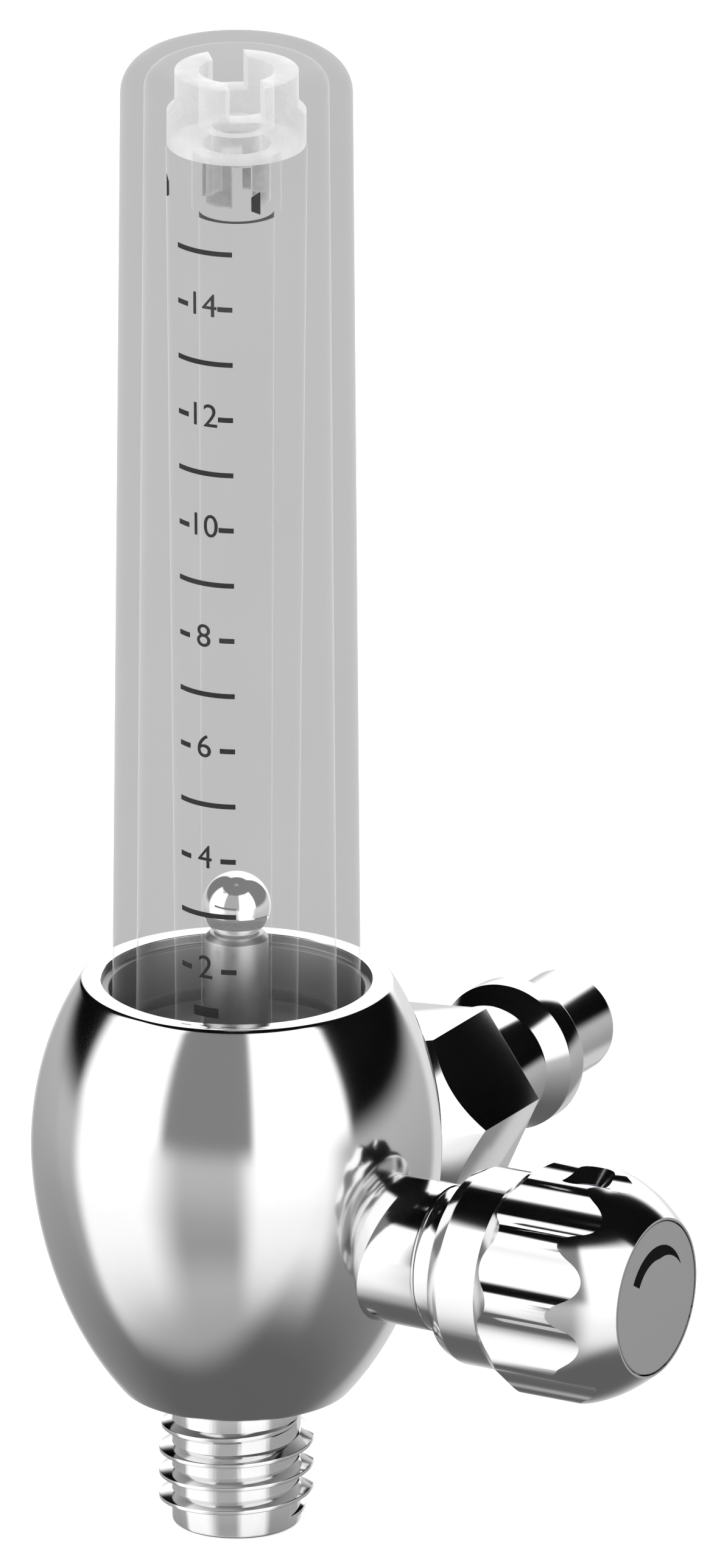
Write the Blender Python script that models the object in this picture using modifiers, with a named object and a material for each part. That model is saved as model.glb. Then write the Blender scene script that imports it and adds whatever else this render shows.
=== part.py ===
"""Rotameter for medical gas: a ball flowmeter on an egg-shaped chromed body.

Gas enters through the probe at the back (+Y), passes the needle valve that the knob at the
side (+X) sets, rises through the tapered flow tube past the ball, leaves the tube at its
slotted cap, comes down between the tube and the clear cover, and goes out at the threaded
nipple underneath.

Sizes below are millimetres. Heights (Z) and stations (X, Y) are measured from the point
where the tube's axis meets the valve's and the inlet's axes. The model's origin is the
centre of the inlet probe's end face, which plugs into the wall outlet.
"""

import math

import bpy
from mathutils import Vector

MM = 0.001

# Clearances between neighbouring pieces
FIT = 0.3
SEAL_FIT = 0.15

# Body: an egg turned about the tube's axis
BODY_RADIUS = 19.0
BODY_WIDEST_Z = 7.3
BODY_TOP_Z = 23.5
BODY_FOOT_Z = -16.3
BODY_FOOT_RADIUS = 10.5
BODY_RIM_WALL = 2.55
BODY_UPPER_POWER = 1.96
BODY_LOWER_POWER = 1.85
RIM_RELIEF_GAP = 0.7
RIM_RELIEF_DEPTH = 0.9

# Clear outer cover
COVER_FOOT_RADIUS = 11.5
COVER_TOP_RADIUS = 10.75
COVER_WALL = 2.2
COVER_TOP_WALL = 0.8
COVER_TOP_ROUND = 3.3
COVER_INNER_ROUND = 2.0
COVER_SOCKET_DEPTH = 8.0
COVER_RING_ABOVE_FOOT = 2.4

# Chamber in the body below the cover
CHAMBER_DEPTH = 12.0
CHAMBER_LEDGE = 1.6

# Tapered flow tube and its ball
BALL_DIAMETER = 6.35
BALL_CLEARANCE = 0.08
BORE_TAPER = 0.5
TUBE_LENGTH = 95.3
TUBE_TOP_RADIUS = 6.55
TUBE_FOOT_RADIUS = 5.55
TUBE_SOCKET_DEPTH = 1.9
TUBE_MOUTH_RADIUS = 4.15
TUBE_MOUTH_DEPTH = 6.2

# Ball seat, a pillar set into the chamber's floor
SEAT_HEIGHT = 16.6
SEAT_CUP_RADIUS = 2.1
SEAT_CUP_DEPTH = 1.6
SEAT_BORE_RADIUS = 1.3
SEAT_SHANK_RADIUS = 2.6
SEAT_SHANK_LENGTH = 2.5
SEAT_CHAMFER = 0.5

# Slotted cap on the flow tube, with the legs that stop the ball
CAP_HEIGHT = 7.1
CAP_CROWN_RADIUS = 5.75
CAP_HOLE_RADIUS = 3.5
CAP_HOLE_DEPTH = 5.4
CAP_FLANGE_RADIUS = 6.46
CAP_FLANGE_HEIGHT = 3.2
CAP_SLOT_WIDTH = 3.3
CAP_SLOT_DEPTH = 3.2
CAP_SLOT_TURN = math.radians(40.0)
CAGE_RADIUS = 3.2
CAGE_WALL = 0.9
CAGE_RIM = 1.4
CAGE_DEPTH = 5.4
CAGE_GAP_WIDTH = 1.9
CAGE_GAP_PAIRS = 2

# Outlet nipple with its coarse thread
NIPPLE_LENGTH = 13.15
NIPPLE_ROOT_RADIUS = 5.95
NIPPLE_BORE_RADIUS = 3.0
NIPPLE_SPIGOT_RADIUS = 5.0
NIPPLE_SPIGOT_LENGTH = 6.7
NIPPLE_RELIEF = 1.3
NIPPLE_CHAMFER = 0.35
THREAD_HEIGHT = 1.2
THREAD_PITCH = 2.28
THREAD_CREST = 0.35
THREAD_FLANK = 0.64
THREAD_ROOT_SINK = 0.4
THREAD_FOOT_GAP = 0.05
THREAD_START_ANGLE = math.radians(-40.0)
THREAD_LEAD_IN = math.radians(140.0)
THREAD_RUNOUT = math.radians(265.0)

# Needle valve, along +X
VALVE_BOSS_RADIUS = 6.9
VALVE_BOSS_END = 22.5
VALVE_CHAMFER = 0.4
VALVE_CHAMBER_RADIUS = 4.5
VALVE_CHAMBER_START = 8.0
VALVE_SEAT_RADIUS = 3.1
VALVE_SEAT_LENGTH = 2.6
VALVE_CONE_DEPTH = 1.3
VALVE_ORIFICE_RADIUS = 1.0
NEEDLE_SLOPE = 0.5
NEEDLE_TIP_RADIUS = 0.35
BONNET_FLANGE = 2.0
BONNET_SPIGOT_LENGTH = 9.6
BONNET_RING_FROM_END = 2.8
BONNET_NECK_RADIUS = 5.2
BONNET_NECK_LENGTH = 6.2
SPINDLE_RADIUS = 2.0
SPINDLE_TRAVEL = 1.5
SPINDLE_COLLAR_RADIUS = 3.7
SPINDLE_COLLAR_LENGTH = 1.6
SPINDLE_THREAD_RADIUS = 2.8
SPINDLE_THREAD_LENGTH = 5.4
SPINDLE_RING_FROM_NECK = 2.2

# Passages drilled in the body
GAS_BORE_RADIUS = 2.0
RISER_RADIUS = 1.0
RISER_WELL_DEPTH = 1.4
DRAIN_RADIUS = 1.2

# Knob on the spindle
KNOB_LIP_RADIUS = 8.8
KNOB_LIP_LENGTH = 1.3
KNOB_SKIRT_RADIUS = 9.3
KNOB_SKIRT_LENGTH = 3.9
KNOB_FLARE_LENGTH = 2.3
KNOB_BODY_RADIUS = 11.0
KNOB_BODY_LENGTH = 5.4
KNOB_NOSE_LENGTH = 6.5
KNOB_NOSE_POWER = 1.6
KNOB_FRONT_RIM = 0.2
KNOB_CAVITY_RADIUS = 5.8
KNOB_CAVITY_CLEARANCE = 1.0
KNOB_WEB = 1.9
FLUTE_COUNT = 10
FLUTE_DEPTH = 1.15
FLUTE_RADIUS = 4.6
FLUTE_TURN = math.radians(3.5)
DISC_RADIUS = 7.2
DISC_THICKNESS = 0.8
SCREW_FROM_KNOB_START = 11.55
SCREW_RADIUS = 1.4
SCREW_SINK_DEPTH = 1.85
SCREW_POINT_LENGTH = 0.6
SCREW_CUP_RADIUS = 0.8

# Inlet line, along +Y
INLET_BOSS_RADIUS = 7.2
INLET_BOSS_END = 19.6
INLET_SPIGOT_RADIUS = 5.0
INLET_SPIGOT_LENGTH = 10.6
INLET_NECK_RADIUS = 6.6
INLET_NECK_LENGTH = 9.8
HEX_LENGTH = 10.0
HEX_CORNER_RADIUS = 9.7
HEX_ROLL = math.radians(5.5)
HEX_CONE_ANGLE = math.radians(40.0)
HEX_BORE_RADIUS = 4.4
HEX_BORE_DEPTH = 15.7
FILTER_LENGTH = 3.0
FILTER_FIT = 0.5
PROBE_TAIL_LENGTH = 10.0
PROBE_COLLAR_RADIUS = 5.65
PROBE_COLLAR_LENGTH = 8.0
PROBE_FLARE_LENGTH = 2.4
PROBE_RING_RADIUS = 7.0
PROBE_RING_LENGTH = 2.5
PROBE_TIP_RADIUS = 4.95
PROBE_TIP_LENGTH = 9.6
PROBE_TIP_CHAMFER = 0.8
PROBE_BORE_RADIUS = 2.2

# Rubber rings
RING_SECTION = 1.1
SPINDLE_RING_SECTION = 0.6
RING_SIDES = 6

# Facets round each turned piece, and along a round stretch of a profile
BODY_STEPS = 36
COVER_STEPS = 32
TUBE_STEPS = 24
SMALL_STEPS = 20
DRILL_STEPS = 16
SCREW_STEPS = 12
FLUTE_STEPS = 26
KNOB_STEPS = 40
EGG_RINGS = 12
NOSE_RINGS = 6
COVER_ROUND_RINGS = 5
COVER_INNER_RINGS = 3
SHARP_ANGLE = math.radians(30.0)

# A cutter runs this far past the face that it opens
CUT_BEYOND = 1.0

# Directions in which a turned piece's axis may lie
ALONG_Z = (0.0, 0.0, 0.0)
ALONG_X = (0.0, math.pi / 2, 0.0)
ALONG_Y = (-math.pi / 2, 0.0, 0.0)
DIRECTIONS = {ALONG_X: Vector((1.0, 0.0, 0.0)), ALONG_Y: Vector((0.0, 1.0, 0.0)),
              ALONG_Z: Vector((0.0, 0.0, 1.0))}

# The set screw stands in the first flute, square to the spindle
SCREW_AXIS = (-FLUTE_TURN, 0.0, 0.0)

# Radii and heights of the cover's socket and the chamber
SOCKET_RADIUS = COVER_FOOT_RADIUS + FIT
RIM_RADIUS = SOCKET_RADIUS + BODY_RIM_WALL
LEDGE_Z = BODY_TOP_Z - COVER_SOCKET_DEPTH
CHAMBER_RADIUS = SOCKET_RADIUS - CHAMBER_LEDGE
CHAMBER_FLOOR_Z = BODY_TOP_Z - CHAMBER_DEPTH
TUBE_SOCKET_Z = CHAMBER_FLOOR_Z - TUBE_SOCKET_DEPTH
TUBE_HOLE_RADIUS = TUBE_FOOT_RADIUS + FIT
TUBE_RING_HEIGHT = RING_SECTION + 2 * SEAL_FIT
TUBE_RING_HOLE_RADIUS = TUBE_HOLE_RADIUS + RING_SECTION + SEAL_FIT

# Heights up the tube
TUBE_FOOT_Z = TUBE_SOCKET_Z + FIT
TUBE_TOP_Z = TUBE_FOOT_Z + TUBE_LENGTH
SEAT_TOP_Z = CHAMBER_FLOOR_Z + SEAT_HEIGHT
SEAT_SHANK_FOOT_Z = TUBE_SOCKET_Z - SEAT_SHANK_LENGTH
WELL_FLOOR_Z = SEAT_SHANK_FOOT_Z - RISER_WELL_DEPTH
BALL_RADIUS = BALL_DIAMETER / 2
BALL_Z = SEAT_TOP_Z + math.sqrt((BALL_RADIUS + SEAL_FIT) ** 2 - SEAT_CUP_RADIUS ** 2)
BORE_FOOT_RADIUS = BALL_RADIUS + BALL_CLEARANCE
BORE_TOP_RADIUS = BORE_FOOT_RADIUS + BORE_TAPER / 2
SEAT_RADIUS = BORE_FOOT_RADIUS - FIT
CAP_FOOT_Z = TUBE_TOP_Z + FIT
CAP_TOP_Z = CAP_FOOT_Z + CAP_HEIGHT
COVER_FOOT_Z = LEDGE_Z + FIT
COVER_TOP_Z = CAP_TOP_Z + FIT + COVER_TOP_WALL

# Heights down the nipple
NIPPLE_SPIGOT_TOP_Z = BODY_FOOT_Z + NIPPLE_SPIGOT_LENGTH
NIPPLE_SHOULDER_Z = BODY_FOOT_Z - FIT
NIPPLE_FOOT_Z = BODY_FOOT_Z - NIPPLE_LENGTH

# Stations along the valve
BONNET_START = VALVE_BOSS_END + FIT
BONNET_SPIGOT_START = BONNET_START - BONNET_SPIGOT_LENGTH
BONNET_FLANGE_END = BONNET_START + BONNET_FLANGE
BONNET_END = BONNET_FLANGE_END + BONNET_NECK_LENGTH
VALVE_SEAT_START = VALVE_CHAMBER_START - VALVE_SEAT_LENGTH
VALVE_CONE_START = VALVE_CHAMBER_START - VALVE_CONE_DEPTH
COLLAR_END = BONNET_SPIGOT_START - SPINDLE_TRAVEL - FIT
COLLAR_START = COLLAR_END - SPINDLE_COLLAR_LENGTH
SPINDLE_THREAD_END = BONNET_SPIGOT_START + SPINDLE_THREAD_LENGTH
SPINDLE_RING_STATION = BONNET_END - SPINDLE_RING_FROM_NECK - SPINDLE_TRAVEL
KNOB_START = BONNET_FLANGE_END + FIT
KNOB_LIP_END = KNOB_START + KNOB_LIP_LENGTH
KNOB_SKIRT_END = KNOB_LIP_END + KNOB_SKIRT_LENGTH
KNOB_FLARE_END = KNOB_SKIRT_END + KNOB_FLARE_LENGTH
KNOB_NOSE_START = KNOB_FLARE_END + KNOB_BODY_LENGTH
KNOB_END = KNOB_NOSE_START + KNOB_NOSE_LENGTH
DISC_RECESS_START = KNOB_END - DISC_THICKNESS - FIT
SPINDLE_END = DISC_RECESS_START - KNOB_WEB - FIT
SCREW_STATION = KNOB_START + SCREW_FROM_KNOB_START

# Stations along the inlet
INLET_SHOULDER = INLET_BOSS_END + FIT
INLET_SPIGOT_START = INLET_SHOULDER - INLET_SPIGOT_LENGTH
HEX_START = INLET_SHOULDER + INLET_NECK_LENGTH
HEX_END = HEX_START + HEX_LENGTH
HEX_BORE_START = HEX_END - HEX_BORE_DEPTH
PROBE_COLLAR_START = HEX_END + FIT
PROBE_FLARE_START = PROBE_COLLAR_START + PROBE_COLLAR_LENGTH
PROBE_RING_START = PROBE_FLARE_START + PROBE_FLARE_LENGTH
PROBE_TIP_START = PROBE_RING_START + PROBE_RING_LENGTH
INLET_REACH = PROBE_TIP_START + PROBE_TIP_LENGTH


def start_scene():
    """Clear the scene and make the collections and the empty that carries the model."""
    for leftover in list(bpy.data.objects):
        bpy.data.objects.remove(leftover)
    parts = bpy.data.collections.new("rotameter")
    cutters = bpy.data.collections.new("rotameter_cutters")
    for collection in (parts, cutters):
        bpy.context.scene.collection.children.link(collection)
    carrier = bpy.data.objects.new("rotameter_frame", None)
    carrier.location = (0.0, -INLET_REACH * MM, 0.0)
    parts.objects.link(carrier)
    return parts, cutters, carrier


PARTS, CUTTERS, CARRIER = start_scene()


def material(name, colour, roughness, metallic, alpha=1.0):
    """A plain finish; alpha below 1 makes it see-through."""
    finish = bpy.data.materials.new(name)
    finish.use_nodes = True
    shader = finish.node_tree.nodes["Principled BSDF"]
    shader.inputs["Base Color"].default_value = (*colour, 1.0)
    shader.inputs["Roughness"].default_value = roughness
    shader.inputs["Metallic"].default_value = metallic
    shader.inputs["Alpha"].default_value = alpha
    finish.diffuse_color = (*colour, alpha)
    return finish


def adopt(item, name, at, axis, finish):
    """Name an object, place it in millimetres, and file it as a piece or as a cutter.

    A piece has a finish. A cutter has none, and shows only as wires.
    """
    item.name = name
    item.parent = CARRIER
    item.location = Vector(at) * MM
    item.rotation_euler = axis
    for collection in list(item.users_collection):
        collection.objects.unlink(item)
    if finish:
        item.data.materials.append(finish)
        PARTS.objects.link(item)
    else:
        item.hide_render = True
        item.display_type = "WIRE"
        CUTTERS.objects.link(item)
    return item


def turned(name, profile, axis, steps, finish=None, at=(0.0, 0.0, 0.0)):
    """Turn a profile of (radius, station) points about an axis.

    The outer side runs from the far station to the near one. A profile that starts and
    ends on the axis is solid, and any other is a closed ring.
    """
    points = [(radius * MM, 0.0, station * MM) for radius, station in profile]
    edges = [(index, index + 1) for index in range(len(points) - 1)]
    solid = profile[0][0] == 0.0 and profile[-1][0] == 0.0
    if not solid:
        edges.append((len(points) - 1, 0))
    mesh = bpy.data.meshes.new(name)
    mesh.from_pydata(points, edges, [])
    item = adopt(bpy.data.objects.new(name, mesh), name, at, axis, finish)
    screw = item.modifiers.new("Turn", "SCREW")
    screw.axis = "Z"
    screw.steps = steps
    screw.render_steps = steps
    screw.use_merge_vertices = True
    screw.merge_threshold = 0.00001
    return item


def boolean(item, tool, operation):
    """Cut, join or intersect a piece with another object."""
    step = item.modifiers.new(tool.name, "BOOLEAN")
    step.operation = operation
    step.solver = "EXACT"
    step.object = tool


def cut(item, tool):
    boolean(item, tool, "DIFFERENCE")


def join(item, tool):
    boolean(item, tool, "UNION")


def drill(name, start, end, radius, steps=DRILL_STEPS):
    """A round cutter between two points."""
    along = Vector(end) - Vector(start)
    tool = turned(name, [(0.0, along.length), (radius, along.length), (radius, 0.0), (0.0, 0.0)],
                  ALONG_Z, steps, at=start)
    tool.rotation_euler = along.to_track_quat("Z", "Y").to_euler()
    return tool


def box_cutter(name, size, at, turn):
    """A block of the given size, centred on a point and turned about Z."""
    bpy.ops.mesh.primitive_cube_add(size=1.0)
    tool = adopt(bpy.context.object, name, at, (0.0, 0.0, turn), None)
    for vertex in tool.data.vertices:
        vertex.co = Vector(side * length * MM for side, length in zip(vertex.co, size))
    return tool


def arc(centre, radius, start, end, count):
    """Points on an arc of a profile; angles in degrees from the outward direction."""
    points = []
    for index in range(count + 1):
        angle = math.radians(start + (end - start) * index / count)
        points.append((centre[0] + radius * math.cos(angle),
                       centre[1] + radius * math.sin(angle)))
    return points


def groove(radius, station, section=RING_SECTION):
    """Profile points of a ring's groove in an outer side, from the far wall to the near one."""
    half = section / 2 + SEAL_FIT
    floor = radius - section - SEAL_FIT
    return [(radius, station + half), (floor, station + half),
            (floor, station - half), (radius, station - half)]


def o_ring(name, outer_radius, station, axis, segments, finish, section=RING_SECTION):
    """A rubber ring round an axis at a station along it."""
    bpy.ops.mesh.primitive_torus_add(
        major_radius=(outer_radius - section / 2) * MM, minor_radius=section / 2 * MM,
        major_segments=segments, minor_segments=RING_SIDES)
    return adopt(bpy.context.object, name, DIRECTIONS[axis] * station, axis, finish)


def superellipse_reach(radius, rise, power):
    """How far above the widest ring the egg would close, if it has a radius at a rise."""
    return rise / (1.0 - (radius / BODY_RADIUS) ** power) ** (1.0 / power)


def egg_radius(height):
    """The body's outer radius at a height: two superellipse halves that meet at the widest."""
    if height > BODY_WIDEST_Z:
        power, radius, edge_z = BODY_UPPER_POWER, RIM_RADIUS, BODY_TOP_Z
    else:
        power, radius, edge_z = BODY_LOWER_POWER, BODY_FOOT_RADIUS, BODY_FOOT_Z
    reach = superellipse_reach(radius, abs(edge_z - BODY_WIDEST_Z), power)
    share = abs(height - BODY_WIDEST_Z) / reach
    return BODY_RADIUS * (1.0 - share ** power) ** (1.0 / power)


def egg_profile():
    """The egg's outer side from the rim down to the foot, with closer rings at its ends."""
    middle = (BODY_TOP_Z + BODY_FOOT_Z) / 2
    points = []
    for index in range(EGG_RINGS + 1):
        height = middle + (BODY_TOP_Z - middle) * math.cos(math.pi * index / EGG_RINGS)
        points.append((egg_radius(height), height))
    return points


def build_body(chrome):
    """The egg with its chamber and its two side bosses."""
    shank_hole = SEAT_SHANK_RADIUS + FIT
    spigot_hole = NIPPLE_SPIGOT_RADIUS + FIT
    spigot_roof = NIPPLE_SPIGOT_TOP_Z + FIT
    relief_radius = SOCKET_RADIUS + RIM_RELIEF_GAP
    profile = [
        (0.0, WELL_FLOOR_Z), (shank_hole, WELL_FLOOR_Z),
        (shank_hole, TUBE_SOCKET_Z), (TUBE_HOLE_RADIUS, TUBE_SOCKET_Z),
        (TUBE_HOLE_RADIUS, CHAMBER_FLOOR_Z - TUBE_RING_HEIGHT),
        (TUBE_RING_HOLE_RADIUS, CHAMBER_FLOOR_Z - TUBE_RING_HEIGHT),
        (TUBE_RING_HOLE_RADIUS, CHAMBER_FLOOR_Z), (CHAMBER_RADIUS, CHAMBER_FLOOR_Z),
        (CHAMBER_RADIUS, LEDGE_Z), (SOCKET_RADIUS, LEDGE_Z),
        (SOCKET_RADIUS, BODY_TOP_Z - RIM_RELIEF_DEPTH),
        (relief_radius, BODY_TOP_Z - RIM_RELIEF_DEPTH), (relief_radius, BODY_TOP_Z),
    ]
    profile += egg_profile()
    profile += [(spigot_hole, BODY_FOOT_Z), (spigot_hole, spigot_roof), (0.0, spigot_roof)]
    body = turned("body", profile, ALONG_Z, BODY_STEPS, chrome)
    join(body, turned("valve_boss", [
        (0.0, VALVE_BOSS_END), (VALVE_BOSS_RADIUS - VALVE_CHAMFER, VALVE_BOSS_END),
        (VALVE_BOSS_RADIUS, VALVE_BOSS_END - VALVE_CHAMFER),
        (VALVE_BOSS_RADIUS, VALVE_CHAMBER_START), (0.0, VALVE_CHAMBER_START),
    ], ALONG_X, BODY_STEPS))
    join(body, turned("inlet_boss", [
        (0.0, INLET_BOSS_END), (INLET_BOSS_RADIUS, INLET_BOSS_END),
        (INLET_BOSS_RADIUS, INLET_SPIGOT_START), (0.0, INLET_SPIGOT_START),
    ], ALONG_Y, BODY_STEPS))
    drill_passages(body, spigot_roof)


def drill_passages(body, spigot_roof):
    """The valve's and the inlet's bores, the way up to the tube and the way down and out."""
    seat_hole = VALVE_SEAT_RADIUS + FIT
    seat_floor = VALVE_SEAT_START - FIT
    cut(body, turned("valve_bore", [
        (0.0, VALVE_BOSS_END + CUT_BEYOND),
        (VALVE_CHAMBER_RADIUS, VALVE_BOSS_END + CUT_BEYOND),
        (VALVE_CHAMBER_RADIUS, VALVE_CHAMBER_START), (seat_hole, VALVE_CHAMBER_START),
        (seat_hole, seat_floor), (GAS_BORE_RADIUS, seat_floor),
        (GAS_BORE_RADIUS, -CUT_BEYOND), (0.0, -CUT_BEYOND),
    ], ALONG_X, SMALL_STEPS))
    inlet_hole = INLET_SPIGOT_RADIUS + FIT
    inlet_floor = INLET_SPIGOT_START - FIT
    cut(body, turned("inlet_bore", [
        (0.0, INLET_BOSS_END + CUT_BEYOND), (inlet_hole, INLET_BOSS_END + CUT_BEYOND),
        (inlet_hole, inlet_floor), (GAS_BORE_RADIUS, inlet_floor),
        (GAS_BORE_RADIUS, 0.0), (0.0, 0.0),
    ], ALONG_Y, SMALL_STEPS))
    well = (0.0, 0.0, (WELL_FLOOR_Z + SEAT_SHANK_FOOT_Z) / 2)
    valve_chamber = (VALVE_CHAMBER_START + 2 * RISER_RADIUS, 0.0, VALVE_CHAMBER_RADIUS)
    cut(body, drill("riser_passage", well, valve_chamber, RISER_RADIUS))
    annulus_middle = (TUBE_RING_HOLE_RADIUS + CHAMBER_RADIUS) / 2
    cut(body, drill("drain_passage", (-annulus_middle, 0.0, CHAMBER_FLOOR_Z + CUT_BEYOND),
                    (-DRAIN_RADIUS, 0.0, spigot_roof - CUT_BEYOND), DRAIN_RADIUS))


def build_cover(clear, rubber):
    """The clear outer cover, closed and rounded at the top, and the ring that seals it."""
    draft = (COVER_FOOT_RADIUS - COVER_TOP_RADIUS) / (COVER_TOP_Z - COVER_FOOT_Z)
    ring_z = COVER_FOOT_Z + COVER_RING_ABOVE_FOOT
    shoulder_z = COVER_TOP_Z - COVER_TOP_ROUND
    shoulder_radius = COVER_TOP_RADIUS + draft * COVER_TOP_ROUND
    inner_top_z = COVER_TOP_Z - COVER_TOP_WALL
    inner_shoulder_z = inner_top_z - COVER_INNER_ROUND
    inner_radius = COVER_TOP_RADIUS + draft * (COVER_TOP_Z - inner_shoulder_z) - COVER_WALL
    profile = [(0.0, COVER_TOP_Z)]
    profile += reversed(arc((shoulder_radius - COVER_TOP_ROUND, shoulder_z),
                            COVER_TOP_ROUND, 0.0, 90.0, COVER_ROUND_RINGS))
    profile += groove(COVER_FOOT_RADIUS, ring_z)
    profile += [(COVER_FOOT_RADIUS, COVER_FOOT_Z),
                (COVER_FOOT_RADIUS - COVER_WALL, COVER_FOOT_Z)]
    profile += arc((inner_radius - COVER_INNER_ROUND, inner_shoulder_z),
                   COVER_INNER_ROUND, 0.0, 90.0, COVER_INNER_RINGS)
    profile.append((0.0, inner_top_z))
    turned("cover", profile, ALONG_Z, COVER_STEPS, clear)
    o_ring("cover_o_ring", COVER_FOOT_RADIUS, ring_z, ALONG_Z, COVER_STEPS, rubber)


def build_flow_tube(clear, rubber):
    """The tube, whose bore widens upwards, and the ring that seals its foot in the body."""
    mouth_floor_z = TUBE_TOP_Z - TUBE_MOUTH_DEPTH
    turned("flow_tube", [
        (TUBE_TOP_RADIUS, TUBE_TOP_Z), (TUBE_FOOT_RADIUS, TUBE_FOOT_Z),
        (BORE_FOOT_RADIUS, TUBE_FOOT_Z), (BORE_FOOT_RADIUS, BALL_Z),
        (BORE_TOP_RADIUS, mouth_floor_z),
        (TUBE_MOUTH_RADIUS, mouth_floor_z), (TUBE_MOUTH_RADIUS, TUBE_TOP_Z),
    ], ALONG_Z, TUBE_STEPS, clear)
    o_ring("tube_o_ring", TUBE_HOLE_RADIUS + RING_SECTION,
           CHAMBER_FLOOR_Z - TUBE_RING_HEIGHT / 2, ALONG_Z, TUBE_STEPS, rubber)


def build_seat_and_ball(brass, steel):
    """The hollow pillar in the tube's foot, and the ball that rests in its cup."""
    turned("ball_seat", [
        (SEAT_CUP_RADIUS, SEAT_TOP_Z), (SEAT_RADIUS - SEAT_CHAMFER, SEAT_TOP_Z),
        (SEAT_RADIUS, SEAT_TOP_Z - SEAT_CHAMFER), (SEAT_RADIUS, TUBE_FOOT_Z),
        (SEAT_SHANK_RADIUS, TUBE_FOOT_Z), (SEAT_SHANK_RADIUS, SEAT_SHANK_FOOT_Z),
        (SEAT_BORE_RADIUS, SEAT_SHANK_FOOT_Z),
        (SEAT_BORE_RADIUS, SEAT_TOP_Z - SEAT_CUP_DEPTH),
    ], ALONG_Z, SMALL_STEPS, brass)
    bpy.ops.mesh.primitive_uv_sphere_add(segments=SMALL_STEPS, ring_count=SMALL_STEPS // 2,
                                         radius=BALL_RADIUS * MM)
    adopt(bpy.context.object, "float_ball", (0.0, 0.0, BALL_Z), ALONG_Z, steel)


def build_cap(clear):
    """The slotted cap: a crown for the driver, a flange on the tube and a cage for the ball."""
    shoulder_z = CAP_FOOT_Z + CAP_FLANGE_HEIGHT
    chamfer = CAP_FLANGE_RADIUS - CAP_CROWN_RADIUS
    cage_foot_z = CAP_FOOT_Z - CAGE_DEPTH
    cage_bore = CAGE_RADIUS - CAGE_WALL
    hole_floor_z = CAP_TOP_Z - CAP_HOLE_DEPTH
    cap = turned("tube_cap", [
        (CAP_CROWN_RADIUS, CAP_TOP_Z), (CAP_CROWN_RADIUS, shoulder_z + chamfer),
        (CAP_FLANGE_RADIUS, shoulder_z), (CAP_FLANGE_RADIUS, CAP_FOOT_Z),
        (CAGE_RADIUS, CAP_FOOT_Z), (CAGE_RADIUS, cage_foot_z), (cage_bore, cage_foot_z),
        (cage_bore, hole_floor_z), (CAP_HOLE_RADIUS, hole_floor_z),
        (CAP_HOLE_RADIUS, CAP_TOP_Z),
    ], ALONG_Z, TUBE_STEPS, clear)
    cut(cap, box_cutter("cap_slot", (CAP_SLOT_WIDTH, 4 * CAP_CROWN_RADIUS, 2 * CAP_SLOT_DEPTH),
                        (0.0, 0.0, CAP_TOP_Z), CAP_SLOT_TURN))
    gap_height = CAGE_DEPTH - CAGE_RIM
    for index in range(CAGE_GAP_PAIRS):
        turn = CAP_SLOT_TURN + math.pi * index / CAGE_GAP_PAIRS
        size = (CAGE_GAP_WIDTH, 4 * CAGE_RADIUS, 2 * gap_height)
        cut(cap, box_cutter(f"cage_gap_{index}", size, (0.0, 0.0, cage_foot_z), turn))


def build_nipple(chrome, rubber):
    """The outlet nipple with its helical thread, and the ring on its spigot."""
    ring_z = (BODY_FOOT_Z + NIPPLE_SPIGOT_TOP_Z) / 2
    profile = [(NIPPLE_BORE_RADIUS, NIPPLE_SPIGOT_TOP_Z),
               (NIPPLE_SPIGOT_RADIUS, NIPPLE_SPIGOT_TOP_Z)]
    profile += groove(NIPPLE_SPIGOT_RADIUS, ring_z)
    profile += [(NIPPLE_SPIGOT_RADIUS, NIPPLE_SHOULDER_Z),
                (NIPPLE_ROOT_RADIUS, NIPPLE_SHOULDER_Z),
                (NIPPLE_ROOT_RADIUS, NIPPLE_FOOT_Z + NIPPLE_CHAMFER),
                (NIPPLE_ROOT_RADIUS - NIPPLE_CHAMFER, NIPPLE_FOOT_Z),
                (NIPPLE_BORE_RADIUS, NIPPLE_FOOT_Z)]
    nipple = turned("outlet_nipple", profile, ALONG_Z, SMALL_STEPS, chrome)
    join(nipple, thread_ridge())
    o_ring("nipple_o_ring", NIPPLE_SPIGOT_RADIUS, ring_z, ALONG_Z, SMALL_STEPS, rubber)


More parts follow.
